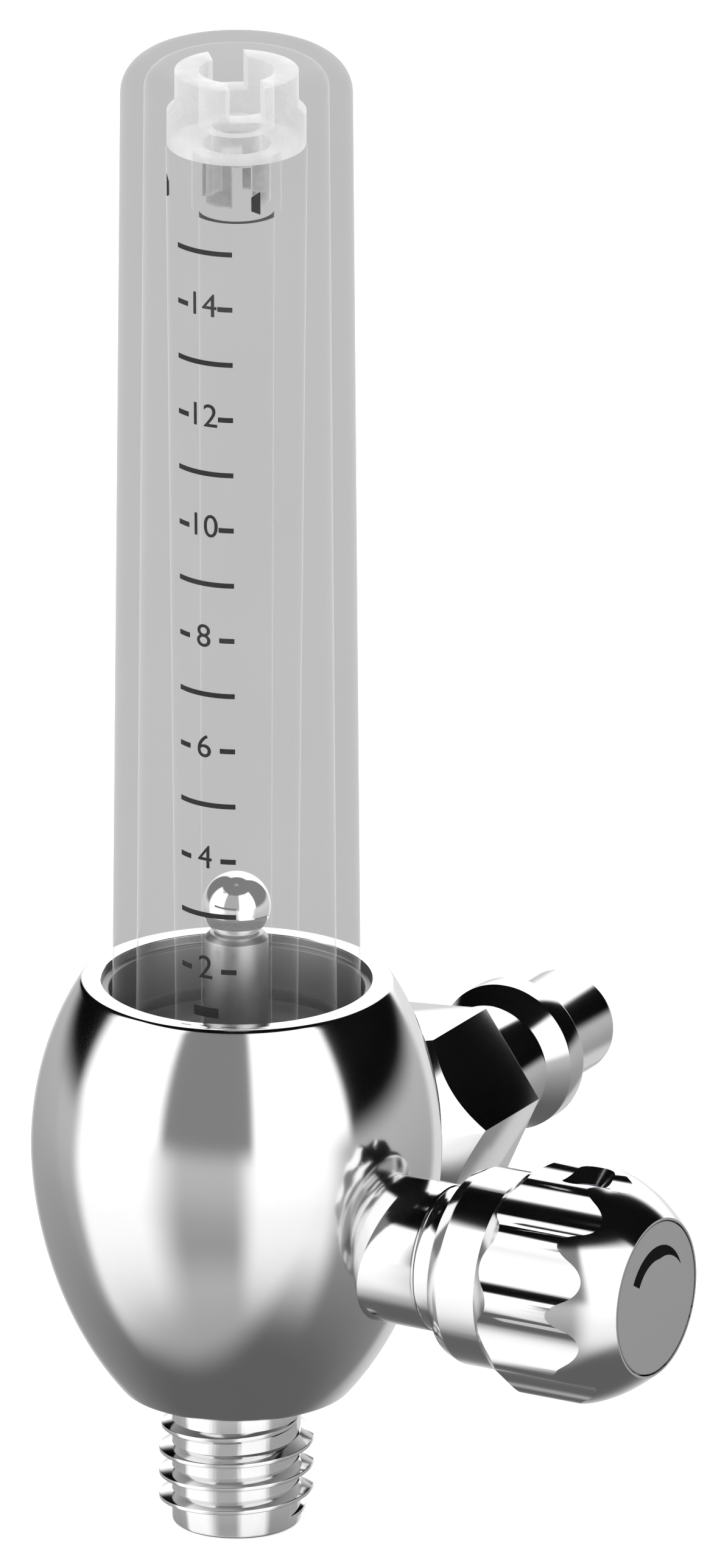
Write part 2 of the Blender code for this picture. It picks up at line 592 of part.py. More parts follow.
def thread_ridge():
    """A right-handed helical ridge that rises out of the nipple's root at both of its ends."""
    width = THREAD_CREST + 2 * THREAD_FLANK
    low_z = NIPPLE_FOOT_Z + THREAD_FOOT_GAP
    climb = NIPPLE_SHOULDER_Z - NIPPLE_RELIEF - width - low_z
    sweep = 2 * math.pi * climb / THREAD_PITCH
    steps = round(sweep / (2 * math.pi) * SMALL_STEPS)
    points = []
    for step in range(steps + 1):
        angle = sweep * step / steps
        lift = low_z + climb * step / steps
        grown = min(1.0, angle / THREAD_LEAD_IN, (sweep - angle) / THREAD_RUNOUT)
        foot = NIPPLE_ROOT_RADIUS - THREAD_ROOT_SINK
        crest = foot + (THREAD_HEIGHT + THREAD_ROOT_SINK) * max(grown, 1.0 / steps)
        section = ((foot, width), (crest, width - THREAD_FLANK), (crest, THREAD_FLANK),
                   (foot, 0.0))
        for radius, rise in section:
            turn = THREAD_START_ANGLE + angle
            points.append(Vector((radius * math.cos(turn), radius * math.sin(turn),
                                  lift + rise)) * MM)
    corners = len(section)
    faces = [tuple(range(corners))]
    for low in range(0, steps * corners, corners):
        for side in range(corners):
            after = (side + 1) % corners
            faces.append((low + side, low + corners + side, low + corners + after, low + after))
    faces.append(tuple(steps * corners + side for side in reversed(range(corners))))
    mesh = bpy.data.meshes.new("outlet_thread")
    mesh.from_pydata(points, [], faces)
    ridge = bpy.data.objects.new("outlet_thread", mesh)
    return adopt(ridge, "outlet_thread", (0.0, 0.0, 0.0), ALONG_Z, None)


def build_bonnet(chrome, rubber):
    """The bonnet that closes the valve, guides the spindle and carries the outer ring."""
    spigot_radius = VALVE_CHAMBER_RADIUS - FIT
    thread_hole = SPINDLE_THREAD_RADIUS + FIT
    thread_hole_end = SPINDLE_THREAD_END + SPINDLE_TRAVEL + FIT
    stem_hole = SPINDLE_RADIUS + FIT
    ring_station = BONNET_START - BONNET_RING_FROM_END
    profile = [(stem_hole, BONNET_END), (BONNET_NECK_RADIUS, BONNET_END),
               (BONNET_NECK_RADIUS, BONNET_FLANGE_END),
               (VALVE_BOSS_RADIUS - VALVE_CHAMFER, BONNET_FLANGE_END),
               (VALVE_BOSS_RADIUS, BONNET_FLANGE_END - VALVE_CHAMFER),
               (VALVE_BOSS_RADIUS, BONNET_START + VALVE_CHAMFER),
               (VALVE_BOSS_RADIUS - VALVE_CHAMFER, BONNET_START),
               (spigot_radius, BONNET_START)]
    profile += groove(spigot_radius, ring_station)
    profile += [(spigot_radius, BONNET_SPIGOT_START), (thread_hole, BONNET_SPIGOT_START),
                (thread_hole, thread_hole_end), (stem_hole, thread_hole_end)]
    turned("valve_bonnet", profile, ALONG_X, TUBE_STEPS, chrome)
    o_ring("bonnet_o_ring", spigot_radius, ring_station, ALONG_X, TUBE_STEPS, rubber)


def build_valve_seat(plastic):
    """The nylon seat, with the cone that the needle closes."""
    turned("valve_seat", [
        (VALVE_ORIFICE_RADIUS + VALVE_CONE_DEPTH * NEEDLE_SLOPE, VALVE_CHAMBER_START),
        (VALVE_SEAT_RADIUS, VALVE_CHAMBER_START), (VALVE_SEAT_RADIUS, VALVE_SEAT_START),
        (VALVE_ORIFICE_RADIUS, VALVE_SEAT_START), (VALVE_ORIFICE_RADIUS, VALVE_CONE_START),
    ], ALONG_X, SMALL_STEPS, plastic)


def build_spindle(steel, rubber):
    """The spindle: needle, collar that stops it, thread, ringed stem and plain end."""
    at_orifice = VALVE_ORIFICE_RADIUS - FIT * math.hypot(1.0, NEEDLE_SLOPE)
    needle_root = at_orifice + (COLLAR_START - VALVE_CONE_START) * NEEDLE_SLOPE
    needle_tip = VALVE_CONE_START - (at_orifice - NEEDLE_TIP_RADIUS) / NEEDLE_SLOPE
    profile = [(0.0, SPINDLE_END), (SPINDLE_RADIUS, SPINDLE_END)]
    profile += groove(SPINDLE_RADIUS, SPINDLE_RING_STATION, SPINDLE_RING_SECTION)
    profile += [(SPINDLE_RADIUS, SPINDLE_THREAD_END),
                (SPINDLE_THREAD_RADIUS, SPINDLE_THREAD_END),
                (SPINDLE_THREAD_RADIUS, COLLAR_END), (SPINDLE_COLLAR_RADIUS, COLLAR_END),
                (SPINDLE_COLLAR_RADIUS, COLLAR_START), (needle_root, COLLAR_START),
                (NEEDLE_TIP_RADIUS, needle_tip), (0.0, needle_tip)]
    turned("spindle", profile, ALONG_X, SMALL_STEPS, steel)
    o_ring("spindle_o_ring", SPINDLE_RADIUS, SPINDLE_RING_STATION, ALONG_X, SMALL_STEPS,
           rubber, SPINDLE_RING_SECTION)


def nose_profile(front_radius):
    """The knob's rounded front, from the label's recess back to the fluted part."""
    points = []
    for index in reversed(range(NOSE_RINGS + 1)):
        share = index / NOSE_RINGS
        drop = (KNOB_BODY_RADIUS - front_radius) * share ** KNOB_NOSE_POWER
        points.append((KNOB_BODY_RADIUS - drop, KNOB_NOSE_START + KNOB_NOSE_LENGTH * share))
    return points


def build_knob(chrome):
    """The fluted knob: hollow behind, round the bonnet's neck, with a recess for the label."""
    recess_radius = DISC_RADIUS + SEAL_FIT
    hub_bore = SPINDLE_RADIUS + FIT
    cavity_end = BONNET_END + KNOB_CAVITY_CLEARANCE
    profile = [(0.0, DISC_RECESS_START), (recess_radius, DISC_RECESS_START),
               (recess_radius, KNOB_END)]
    profile += nose_profile(recess_radius + KNOB_FRONT_RIM)
    profile += [(KNOB_BODY_RADIUS, KNOB_FLARE_END), (KNOB_SKIRT_RADIUS, KNOB_SKIRT_END),
                (KNOB_SKIRT_RADIUS, KNOB_LIP_END), (KNOB_LIP_RADIUS, KNOB_START),
                (KNOB_CAVITY_RADIUS, KNOB_START), (KNOB_CAVITY_RADIUS, cavity_end),
                (hub_bore, cavity_end), (hub_bore, SPINDLE_END + FIT),
                (0.0, SPINDLE_END + FIT)]
    knob = turned("knob", profile, ALONG_X, KNOB_STEPS, chrome)
    flute_middle = KNOB_BODY_RADIUS - FLUTE_DEPTH + FLUTE_RADIUS
    for index in range(FLUTE_COUNT):
        turn = FLUTE_TURN + 2 * math.pi * index / FLUTE_COUNT
        y = flute_middle * math.sin(turn)
        z = flute_middle * math.cos(turn)
        cut(knob, drill(f"flute_{index}", (KNOB_SKIRT_END - CUT_BEYOND, y, z),
                        (KNOB_END + CUT_BEYOND, y, z), FLUTE_RADIUS, FLUTE_STEPS))
    hole_radius = SCREW_RADIUS + FIT
    sink_foot = KNOB_BODY_RADIUS - SCREW_SINK_DEPTH
    sink_mouth = KNOB_BODY_RADIUS + CUT_BEYOND
    cut(knob, turned("screw_hole", [
        (0.0, sink_mouth), (hole_radius + sink_mouth - sink_foot, sink_mouth),
        (hole_radius, sink_foot), (hole_radius, 0.0), (0.0, 0.0),
    ], SCREW_AXIS, SMALL_STEPS, at=(SCREW_STATION, 0.0, 0.0)))


def build_knob_fittings(blued, label):
    """The cup-pointed set screw that grips the spindle, and the disc in the knob's front."""
    screw_top = KNOB_BODY_RADIUS - SCREW_SINK_DEPTH - SEAL_FIT
    screw_foot = SPINDLE_RADIUS + FIT
    turned("knob_set_screw", [
        (0.0, screw_top), (SCREW_RADIUS, screw_top),
        (SCREW_RADIUS, screw_foot + SCREW_POINT_LENGTH), (SCREW_CUP_RADIUS, screw_foot),
        (0.0, screw_foot + SCREW_CUP_RADIUS),
    ], SCREW_AXIS, SCREW_STEPS, blued, at=(SCREW_STATION, 0.0, 0.0))
    disc_back = KNOB_END - DISC_THICKNESS
    turned("knob_disc", [
        (0.0, KNOB_END), (DISC_RADIUS, KNOB_END), (DISC_RADIUS, disc_back), (0.0, disc_back),
    ], ALONG_X, KNOB_STEPS, label)


def cone_station(radius):
    """Where the hexagon's front cone has a radius; it meets the corners at HEX_START."""
    return HEX_START - (HEX_CORNER_RADIUS - radius) / math.tan(HEX_CONE_ANGLE)


def build_adaptor(chrome, rubber):
    """The hexagon adaptor, whose corners a cone takes down to its round neck."""
    hidden_radius = INLET_SPIGOT_RADIUS
    hexagon_start = cone_station(hidden_radius)
    hexagon_length = HEX_END - hexagon_start
    bpy.ops.mesh.primitive_cylinder_add(vertices=6, radius=HEX_CORNER_RADIUS * MM,
                                        depth=hexagon_length * MM)
    adaptor = adopt(bpy.context.object, "inlet_adaptor",
                    (0.0, hexagon_start + hexagon_length / 2, 0.0),
                    (-math.pi / 2, math.pi / 6 - HEX_ROLL, 0.0), chrome)
    outside = HEX_CORNER_RADIUS + CUT_BEYOND
    inside = hidden_radius - CUT_BEYOND
    boolean(adaptor, turned("hexagon_cone", [
        (0.0, HEX_END + CUT_BEYOND), (outside, HEX_END + CUT_BEYOND),
        (outside, cone_station(outside)), (inside, cone_station(inside)),
        (0.0, cone_station(inside)),
    ], ALONG_Y, BODY_STEPS), "INTERSECT")
    ring_station = (INLET_SPIGOT_START + INLET_BOSS_END) / 2
    neck_end = (HEX_START + HEX_END) / 2
    profile = [(0.0, neck_end), (INLET_NECK_RADIUS, neck_end),
               (INLET_NECK_RADIUS, INLET_SHOULDER), (INLET_SPIGOT_RADIUS, INLET_SHOULDER)]
    profile += groove(INLET_SPIGOT_RADIUS, ring_station)
    profile += [(INLET_SPIGOT_RADIUS, INLET_SPIGOT_START), (0.0, INLET_SPIGOT_START)]
    join(adaptor, turned("adaptor_neck", profile, ALONG_Y, TUBE_STEPS))
    cut(adaptor, turned("adaptor_bore", [
        (0.0, HEX_END + CUT_BEYOND), (HEX_BORE_RADIUS, HEX_END + CUT_BEYOND),
        (HEX_BORE_RADIUS, HEX_BORE_START), (GAS_BORE_RADIUS, HEX_BORE_START),
        (GAS_BORE_RADIUS, INLET_SPIGOT_START - CUT_BEYOND),
        (0.0, INLET_SPIGOT_START - CUT_BEYOND),
    ], ALONG_Y, SMALL_STEPS))
    o_ring("inlet_o_ring", INLET_SPIGOT_RADIUS, ring_station, ALONG_Y, SMALL_STEPS, rubber)


def build_filter(bronze):
    """The sintered filter at the bottom of the adaptor's bore."""
    start = HEX_BORE_START + FIT
    radius = HEX_BORE_RADIUS - FILTER_FIT
    turned("inlet_filter", [
        (0.0, start + FILTER_LENGTH), (radius, start + FILTER_LENGTH),
        (radius, start), (0.0, start),
    ], ALONG_Y, DRILL_STEPS, bronze)


def build_probe(chrome, rubber):
    """The probe that plugs into the wall outlet, with the ring on its tail."""
    tail_radius = HEX_BORE_RADIUS - FIT
    tail_start = HEX_END - PROBE_TAIL_LENGTH
    ring_station = (tail_start + HEX_END) / 2
    profile = [(PROBE_BORE_RADIUS, INLET_REACH),
               (PROBE_TIP_RADIUS - PROBE_TIP_CHAMFER, INLET_REACH),
               (PROBE_TIP_RADIUS, INLET_REACH - PROBE_TIP_CHAMFER),
               (PROBE_TIP_RADIUS, PROBE_TIP_START), (PROBE_RING_RADIUS, PROBE_TIP_START),
               (PROBE_RING_RADIUS, PROBE_RING_START), (PROBE_COLLAR_RADIUS, PROBE_FLARE_START),
               (PROBE_COLLAR_RADIUS, PROBE_COLLAR_START), (tail_radius, PROBE_COLLAR_START)]
    profile += groove(tail_radius, ring_station)
    profile += [(tail_radius, tail_start), (PROBE_BORE_RADIUS, tail_start)]
    turned("inlet_probe", profile, ALONG_Y, TUBE_STEPS, chrome)
    o_ring("probe_o_ring", tail_radius, ring_station, ALONG_Y, TUBE_STEPS, rubber)


def shade_pieces():
    """Settle each piece's modifiers, and shade it smooth up to its sharp edges."""
    depsgraph = bpy.context.evaluated_depsgraph_get()
    pieces = [item for item in PARTS.objects if item.type == "MESH"]
    settled = {item: bpy.data.meshes.new_from_object(item.evaluated_get(depsgraph))
               for item in pieces}
    for item, mesh in settled.items():
        mesh.shade_smooth()
        mesh.set_sharp_from_angle(angle=SHARP_ANGLE)
        item.modifiers.clear()
        item.data = mesh


def main():
    chrome = material("chromed_brass", (0.80, 0.81, 0.82), 0.06, 1.0)
    brass = material("bare_brass", (0.72, 0.56, 0.30), 0.25, 1.0)
    bronze = material("sintered_bronze", (0.48, 0.34, 0.20), 0.75, 1.0)
    steel = material("polished_steel", (0.70, 0.71, 0.72), 0.08, 1.0)
    blued = material("blued_steel", (0.30, 0.32, 0.38), 0.35, 1.0)
    clear = material("clear_plastic", (0.75, 0.76, 0.77), 0.05, 0.0, 0.35)
    rubber = material("black_rubber", (0.03, 0.03, 0.03), 0.65, 0.0)
    plastic = material("white_nylon", (0.85, 0.85, 0.82), 0.4, 0.0)
    label = material("grey_label", (0.35, 0.35, 0.35), 0.5, 0.0)
    build_body(chrome)
    build_cover(clear, rubber)
    build_flow_tube(clear, rubber)
    build_seat_and_ball(brass, steel)
    build_cap(clear)
    build_nipple(chrome, rubber)
    build_bonnet(chrome, rubber)
    build_valve_seat(plastic)
    build_spindle(steel, rubber)
    build_knob(chrome)
    build_knob_fittings(blued, label)
    build_adaptor(chrome, rubber)
    build_filter(bronze)
    build_probe(chrome, rubber)
    shade_pieces()


main()
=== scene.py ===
"""Looks of the rotameter: a ball flowmeter for medical gas on an egg-shaped chromed body.

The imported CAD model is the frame. Every piece that shows is modelled again here with finer
curves and eased edges, takes the place of its CAD node and rides on that node's body. Sizes
are millimetres from the point where the tube's axis meets the valve's and the inlet's axes.
"""

import logging
import math
from contextlib import contextmanager
from dataclasses import dataclass, field
from enum import Enum
from typing import Any, Callable, ClassVar, Iterable, Iterator, Optional, Sequence, Union

import bpy
from mathutils import Matrix, Vector


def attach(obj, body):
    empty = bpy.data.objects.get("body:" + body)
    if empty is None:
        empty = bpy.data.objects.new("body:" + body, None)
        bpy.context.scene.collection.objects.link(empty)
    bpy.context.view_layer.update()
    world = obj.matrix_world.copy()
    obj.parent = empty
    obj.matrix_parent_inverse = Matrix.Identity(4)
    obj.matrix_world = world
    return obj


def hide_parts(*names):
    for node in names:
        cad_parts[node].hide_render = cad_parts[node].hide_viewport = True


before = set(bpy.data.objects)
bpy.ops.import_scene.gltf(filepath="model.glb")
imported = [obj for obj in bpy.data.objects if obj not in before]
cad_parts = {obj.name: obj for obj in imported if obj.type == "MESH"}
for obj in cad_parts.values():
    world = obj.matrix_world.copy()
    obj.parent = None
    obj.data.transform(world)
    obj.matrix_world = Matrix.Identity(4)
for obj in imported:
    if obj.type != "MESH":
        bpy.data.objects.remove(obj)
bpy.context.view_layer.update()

log = logging.getLogger("rotameter")

MM = 0.001
CROSSING = Vector((0.0, -62.5, 0.0)) * MM
WELD = 1.0e-6
SMOOTH_ANGLE = math.radians(26.0)
ARC_REACH = 0.48
ARC_STEPS = 5
LEAST_ARC_STEPS = 3
GROOVE_HALF = 0.7
GROOVE_DEPTH = 1.25

Corner = tuple[float, float, float]
Colour = tuple[float, float, float]


def spot(x: float, y: float, z: float) -> Vector:
    """A point in the frame, in metres, from millimetres off the axes' crossing."""
    return CROSSING + Vector((x, y, z)) * MM


class Line(Enum):
    """The three lines that pieces are turned about."""

    TUBE = (0.0, 0.0, 1.0)
    VALVE = (1.0, 0.0, 0.0)
    INLET = (0.0, 1.0, 0.0)

    def place(self, radius: float, station: float) -> Vector:
        """Where a profile's point lies in the frame.

        Args:
            radius: Distance from the line, in millimetres.
            station: Distance along the line, in millimetres.

        Returns:
            The point in metres.
        """
        if self is Line.TUBE:
            return spot(radius, 0.0, station)
        if self is Line.VALVE:
            return spot(station, 0.0, radius)
        return spot(0.0, station, radius)


class Join(Enum):
    """How one solid works on another."""

    CUT = "DIFFERENCE"
    ADD = "UNION"
    KEEP_COMMON = "INTERSECT"


class Body(Enum):
    """The moving bodies of the frame."""

    HOUSING = "housing"
    KNOB = "knob_group"
    CARRIAGE = "spindle_carriage"
    FLOAT = "float"


def only(item: bpy.types.Object) -> bpy.types.Object:
    """Select one object alone and make it the active one."""
    bpy.ops.object.select_all(action="DESELECT")
    item.select_set(True)
    bpy.context.view_layer.objects.active = item
    return item


def fresh(name: str, add: Callable[..., Any], **settings: Any) -> bpy.types.Object:
    """Add an object by an operator, under a name of its own."""
    bpy.ops.object.select_all(action="DESELECT")
    add(**settings)
    bpy.context.object.name = name
    return bpy.context.object


@contextmanager
def editing(item: bpy.types.Object) -> Iterator[None]:
    """Edit an object's mesh, all of it selected to start with."""
    only(item)
    bpy.ops.object.mode_set(mode="EDIT")
    bpy.ops.mesh.select_all(action="SELECT")
    yield
    bpy.ops.object.mode_set(mode="OBJECT")


def settled(item: bpy.types.Object) -> bpy.types.Object:
    """Move an object's place, turn and size into its mesh."""
    only(item)
    bpy.ops.object.transform_apply(location=True, rotation=True, scale=True)
    return item


def welded(item: bpy.types.Object) -> bpy.types.Object:
    """Merge a mesh's doubles and turn its faces outwards."""
    with editing(item):
        bpy.ops.mesh.remove_doubles(threshold=WELD)
        bpy.ops.mesh.normals_make_consistent(inside=False)
    return item


def eased(corners: Sequence[Corner]) -> list[Vector]:
    """Round a profile's corners.

    Args:
        corners: Radius, station and rounding of each corner, in millimetres.

    Returns:
        The points of the profile, with a true arc at each rounded corner.
    """
    points: list[Vector] = []
    for index, (radius, station, rounding) in enumerate(corners):
        here = Vector((radius, station))
        if rounding == 0.0:
            points.append(here)
            continue
        back = Vector(corners[index - 1][:2]) - here
        ahead = Vector(corners[(index + 1) % len(corners)][:2]) - here
        half = back.angle(ahead) / 2
        reach = min(rounding / math.tan(half), ARC_REACH * back.length,
                    ARC_REACH * ahead.length)
        start = here + back.normalized() * reach
        end = here + ahead.normalized() * reach
        steps = max(LEAST_ARC_STEPS, round(ARC_STEPS * math.sqrt(rounding)))
        for step in range(steps + 1):
            share = step / steps
            near, middle, far = (1 - share) ** 2, 2 * share * (1 - share), share ** 2
            middle *= math.sin(half)
            points.append((start * near + here * middle + end * far) / (near + middle + far))
    return points


def traced(name: str, points: Sequence[Vector]) -> bpy.types.Object:
    """Draw a line of edges, by extruding a single vertex from point to point.

    Args:
        name: Name of the new object.
        points: The line's points in the frame, in metres.

    Returns:
        The object, which holds edges alone.
    """
    item = fresh(name, bpy.ops.mesh.primitive_plane_add, size=MM, location=points[0])
    with editing(item):
        bpy.ops.mesh.merge(type="CENTER")
        for before, after in zip(points, points[1:]):
            bpy.ops.mesh.extrude_region_move(TRANSFORM_OT_translate={"value": after - before})
    return item


def turned(name: str, corners: Sequence[Corner], line: Line, steps: int = 144
           ) -> bpy.types.Object:
    """Turn a profile about a line into a closed solid.

    Args:
        name: Name of the new object.
        corners: The profile's corners. It starts and ends on the line, or is a closed ring.
        line: The line to turn it about.
        steps: Number of faces round the line.

    Returns:
        The solid, at the frame's origin.
    """
    path = [line.place(*point) for point in eased(corners)]
    if corners[0][0] > 0.0:
        path.append(path[0])
    item = traced(name, path)
    with editing(item):
        bpy.ops.mesh.spin(steps=steps, angle=math.tau, center=CROSSING, axis=line.value)
    return welded(settled(item))


def bored(name: str, line: Line, start: float, steps: Sequence[tuple[float, float]],
          sides: int = 64) -> bpy.types.Object:
    """Make the tool for a stepped bore.

    Args:
        name: Name of the new object.
        line: The line that the bore runs along.
        start: Station of the bore's mouth, in millimetres.
        steps: Radius and last station of each step, from the mouth inwards.
        sides: Number of faces round the bore.

    Returns:
        The tool, a solid.
    """
    corners = [(0.0, start, 0.0)]
    for radius, end in steps:
        corners += [(radius, start, 0.0), (radius, end, 0.0)]
        start = end
    return turned(name, [*corners, (0.0, start, 0.0)], line, sides)


def groove(outer: float, station: float) -> list[Corner]:
    """A sealing ring's groove, for a profile that runs down its line."""
    floor, high, low = outer - GROOVE_DEPTH, station + GROOVE_HALF, station - GROOVE_HALF
    return [(outer, high, 0.0), (floor, high, 0.0), (floor, low, 0.0), (outer, low, 0.0)]


def slab(name: str, outline: Sequence[Vector], along: Vector) -> bpy.types.Object:
    """Fill an outline and extrude it into a solid.

    Args:
        name: Name of the new object.
        outline: Corner points of a flat outline in the frame, in metres.
        along: How far and which way to extrude it, in metres.

    Returns:
        The solid, at the frame's origin.
    """
    item = traced(name, [*outline, outline[0]])
    with editing(item):
        bpy.ops.mesh.remove_doubles(threshold=WELD)
        bpy.ops.mesh.edge_face_add()
        bpy.ops.mesh.extrude_region_move(TRANSFORM_OT_translate={"value": along})
    return welded(settled(item))


def block(name: str, centre: Vector, size: tuple[float, float, float], turn: float = 0.0
          ) -> bpy.types.Object:
    """A block of a size in millimetres, centred on a point and turned about Z."""
    return settled(fresh(name, bpy.ops.mesh.primitive_cube_add, size=MM, location=centre,
                         rotation=(0.0, 0.0, turn), scale=size))


def rod(name: str, start: Vector, end: Vector, radius: float, sides: int = 48
        ) -> bpy.types.Object:
    """A round rod of a radius in millimetres between two points."""
    along = end - start
    return settled(fresh(
        name, bpy.ops.mesh.primitive_cylinder_add, vertices=sides, radius=radius * MM,
        depth=along.length, location=(start + end) / 2,
        rotation=along.to_track_quat("Z", "Y").to_euler()))


def applied(item: bpy.types.Object, kind: str, **settings: Any) -> bpy.types.Object:
    """Give an object a modifier with these settings, and apply it."""
    only(item)
    step = item.modifiers.new(kind.title(), kind)
    for name, value in settings.items():
        setattr(step, name, value)
    bpy.ops.object.modifier_apply(modifier=step.name)
    return item


def worked(item: bpy.types.Object, how: Join, *tools: bpy.types.Object) -> bpy.types.Object:
    """Cut, join or intersect a solid with others, which are used up."""
    for tool in tools:
        applied(item, "BOOLEAN", operation=how.value, solver="EXACT", object=tool)
        bpy.data.objects.remove(tool)
    return item


def joined(items: Sequence[bpy.types.Object], name: str) -> bpy.types.Object:
    """Make several objects one, under a new name."""
    bpy.ops.object.select_all(action="DESELECT")
    for item in items:
        item.select_set(True)
    bpy.context.view_layer.objects.active = items[0]
    bpy.ops.object.join()
    items[0].name = name
    return items[0]


def smoothed(item: bpy.types.Object) -> bpy.types.Object:
    """Shade a piece smooth up to its real edges."""
    only(item)
    bpy.ops.object.shade_smooth_by_angle(angle=SMOOTH_ANGLE)
    return item


class Signal:
    """A number that varies over a surface; sums on it become Math nodes."""

    def __init__(self, nodes: "NodeBench", socket: bpy.types.NodeSocket) -> None:
        """Wrap a socket of a node tree."""
        self.nodes = nodes
        self.socket = socket

    def _sum(self, operation: str, *terms: "Term") -> "Signal":
        """Add a Math node and wrap its result."""
        node = self.nodes.add("ShaderNodeMath", {"operation": operation},
                              dict(enumerate(terms)))
        return Signal(self.nodes, node.outputs[0])

    def __add__(self, other: "Term") -> "Signal":
        """self + other."""
        return self._sum("ADD", self, other)

    def __radd__(self, other: "Term") -> "Signal":
        """other + self."""
        return self._sum("ADD", other, self)

    def __sub__(self, other: "Term") -> "Signal":
        """self - other."""
        return self._sum("SUBTRACT", self, other)

    def __rsub__(self, other: "Term") -> "Signal":
        """other - self."""
        return self._sum("SUBTRACT", other, self)

    def __mul__(self, other: "Term") -> "Signal":
        """self * other."""
        return self._sum("MULTIPLY", self, other)

    def __truediv__(self, other: "Term") -> "Signal":
        """self / other."""
        return self._sum("DIVIDE", self, other)

    def __pow__(self, other: "Term") -> "Signal":
        """self to the power of other."""
        return self._sum("POWER", self, other)

    def angle_from(self, other: "Term") -> "Signal":
        """The angle of the point (other, self), in degrees."""
        return self._sum("ARCTAN2", self, other) * (180.0 / math.pi)

    def size(self) -> "Signal":
        """The number without its sign."""
        return self._sum("ABSOLUTE", self)

    def under(self, other: "Term") -> "Signal":
        """The smaller of the two."""
        return self._sum("MINIMUM", self, other)

    def ramp(self, start: float, end: float) -> "Signal":
        """A soft step from 0 at start to 1 at end."""
        node = self.nodes.add(
            "ShaderNodeMapRange", {"interpolation_type": "SMOOTHSTEP"},
            {"Value": self, "From Min": start, "From Max": end})
        return Signal(self.nodes, node.outputs["Result"])


Term = Union[Signal, float, int, Sequence[float], bpy.types.NodeSocket]


class NodeBench:
    """Adds nodes to one tree."""

    def __init__(self, tree: bpy.types.NodeTree) -> None:
        """Work on a node tree."""
        self.tree = tree

    def add(self, kind: str, settings: Optional[dict[str, Any]] = None,
            sockets: Optional[dict[Union[str, int], Term]] = None) -> bpy.types.Node:
        """Add one node.

        Args:
            kind: The node's type.
            settings: Attributes that are set before the sockets; "stops" holds a ramp's
                (place, brightness) pairs.
            sockets: A value or a link for each named input.

        Returns:
            The node.
        """
        node = self.tree.nodes.new(kind)
        for name, value in (settings or {}).items():
            if name == "stops":
                self._stops(node.color_ramp, value)
            else:
                setattr(node, name, value)
        for name, value in (sockets or {}).items():
            target = node.inputs[name]
            if isinstance(value, Signal):
                self.tree.links.new(value.socket, target)
            elif isinstance(value, bpy.types.NodeSocket):
                self.tree.links.new(value, target)
            else:
                target.default_value = value
        return node

    @staticmethod
    def _stops(ramp: bpy.types.ColorRamp, stops: Sequence[tuple[float, float]]) -> None:
        """Place a ramp's stops."""
        while len(ramp.elements) < len(stops):
            ramp.elements.new(0.5)
        for element, (place, level) in zip(ramp.elements, stops):
            element.position = place
            element.color = (level, level, level, 1.0)

    def object_point(self, stretch: Sequence[float] = (1.0, 1.0, 1.0)) -> bpy.types.NodeSocket:
        """Object coordinates, stretched along each axis."""
        source = self.add("ShaderNodeTexCoord").outputs["Object"]
        return self.add("ShaderNodeMapping", {}, {"Vector": source, "Scale": tuple(stretch)}
                        ).outputs["Vector"]

    def split(self, vector: bpy.types.NodeSocket) -> tuple[Signal, Signal, Signal]:
        """The three parts of a vector."""
        parts = self.add("ShaderNodeSeparateXYZ", {}, {"Vector": vector}).outputs
        return Signal(self, parts[0]), Signal(self, parts[1]), Signal(self, parts[2])

    def noise(self, size: float, detail: float = 2.0,
              stretch: Sequence[float] = (1.0, 1.0, 1.0)) -> Signal:
        """Smooth noise whose features are about a size in millimetres."""
        node = self.add("ShaderNodeTexNoise", {}, {
            "Vector": self.object_point(stretch), "Scale": 1.0 / (size * MM),
            "Detail": detail})
        return Signal(self, node.outputs[0])

    def tint(self, dark: Colour, light: Colour, share: Term) -> bpy.types.NodeSocket:
        """A colour between two others."""
        node = self.add("ShaderNodeMix", {"data_type": "RGBA"}, {
            "Factor": share, 6: (*dark, 1.0), 7: (*light, 1.0)})
        return node.outputs[2]

    def bump(self, height: Signal, strength: float, depth: float) -> bpy.types.NodeSocket:
        """A normal from a height; depth in millimetres."""
        node = self.add("ShaderNodeBump", {}, {
            "Strength": strength, "Distance": depth * MM, "Height": height})
        return node.outputs["Normal"]


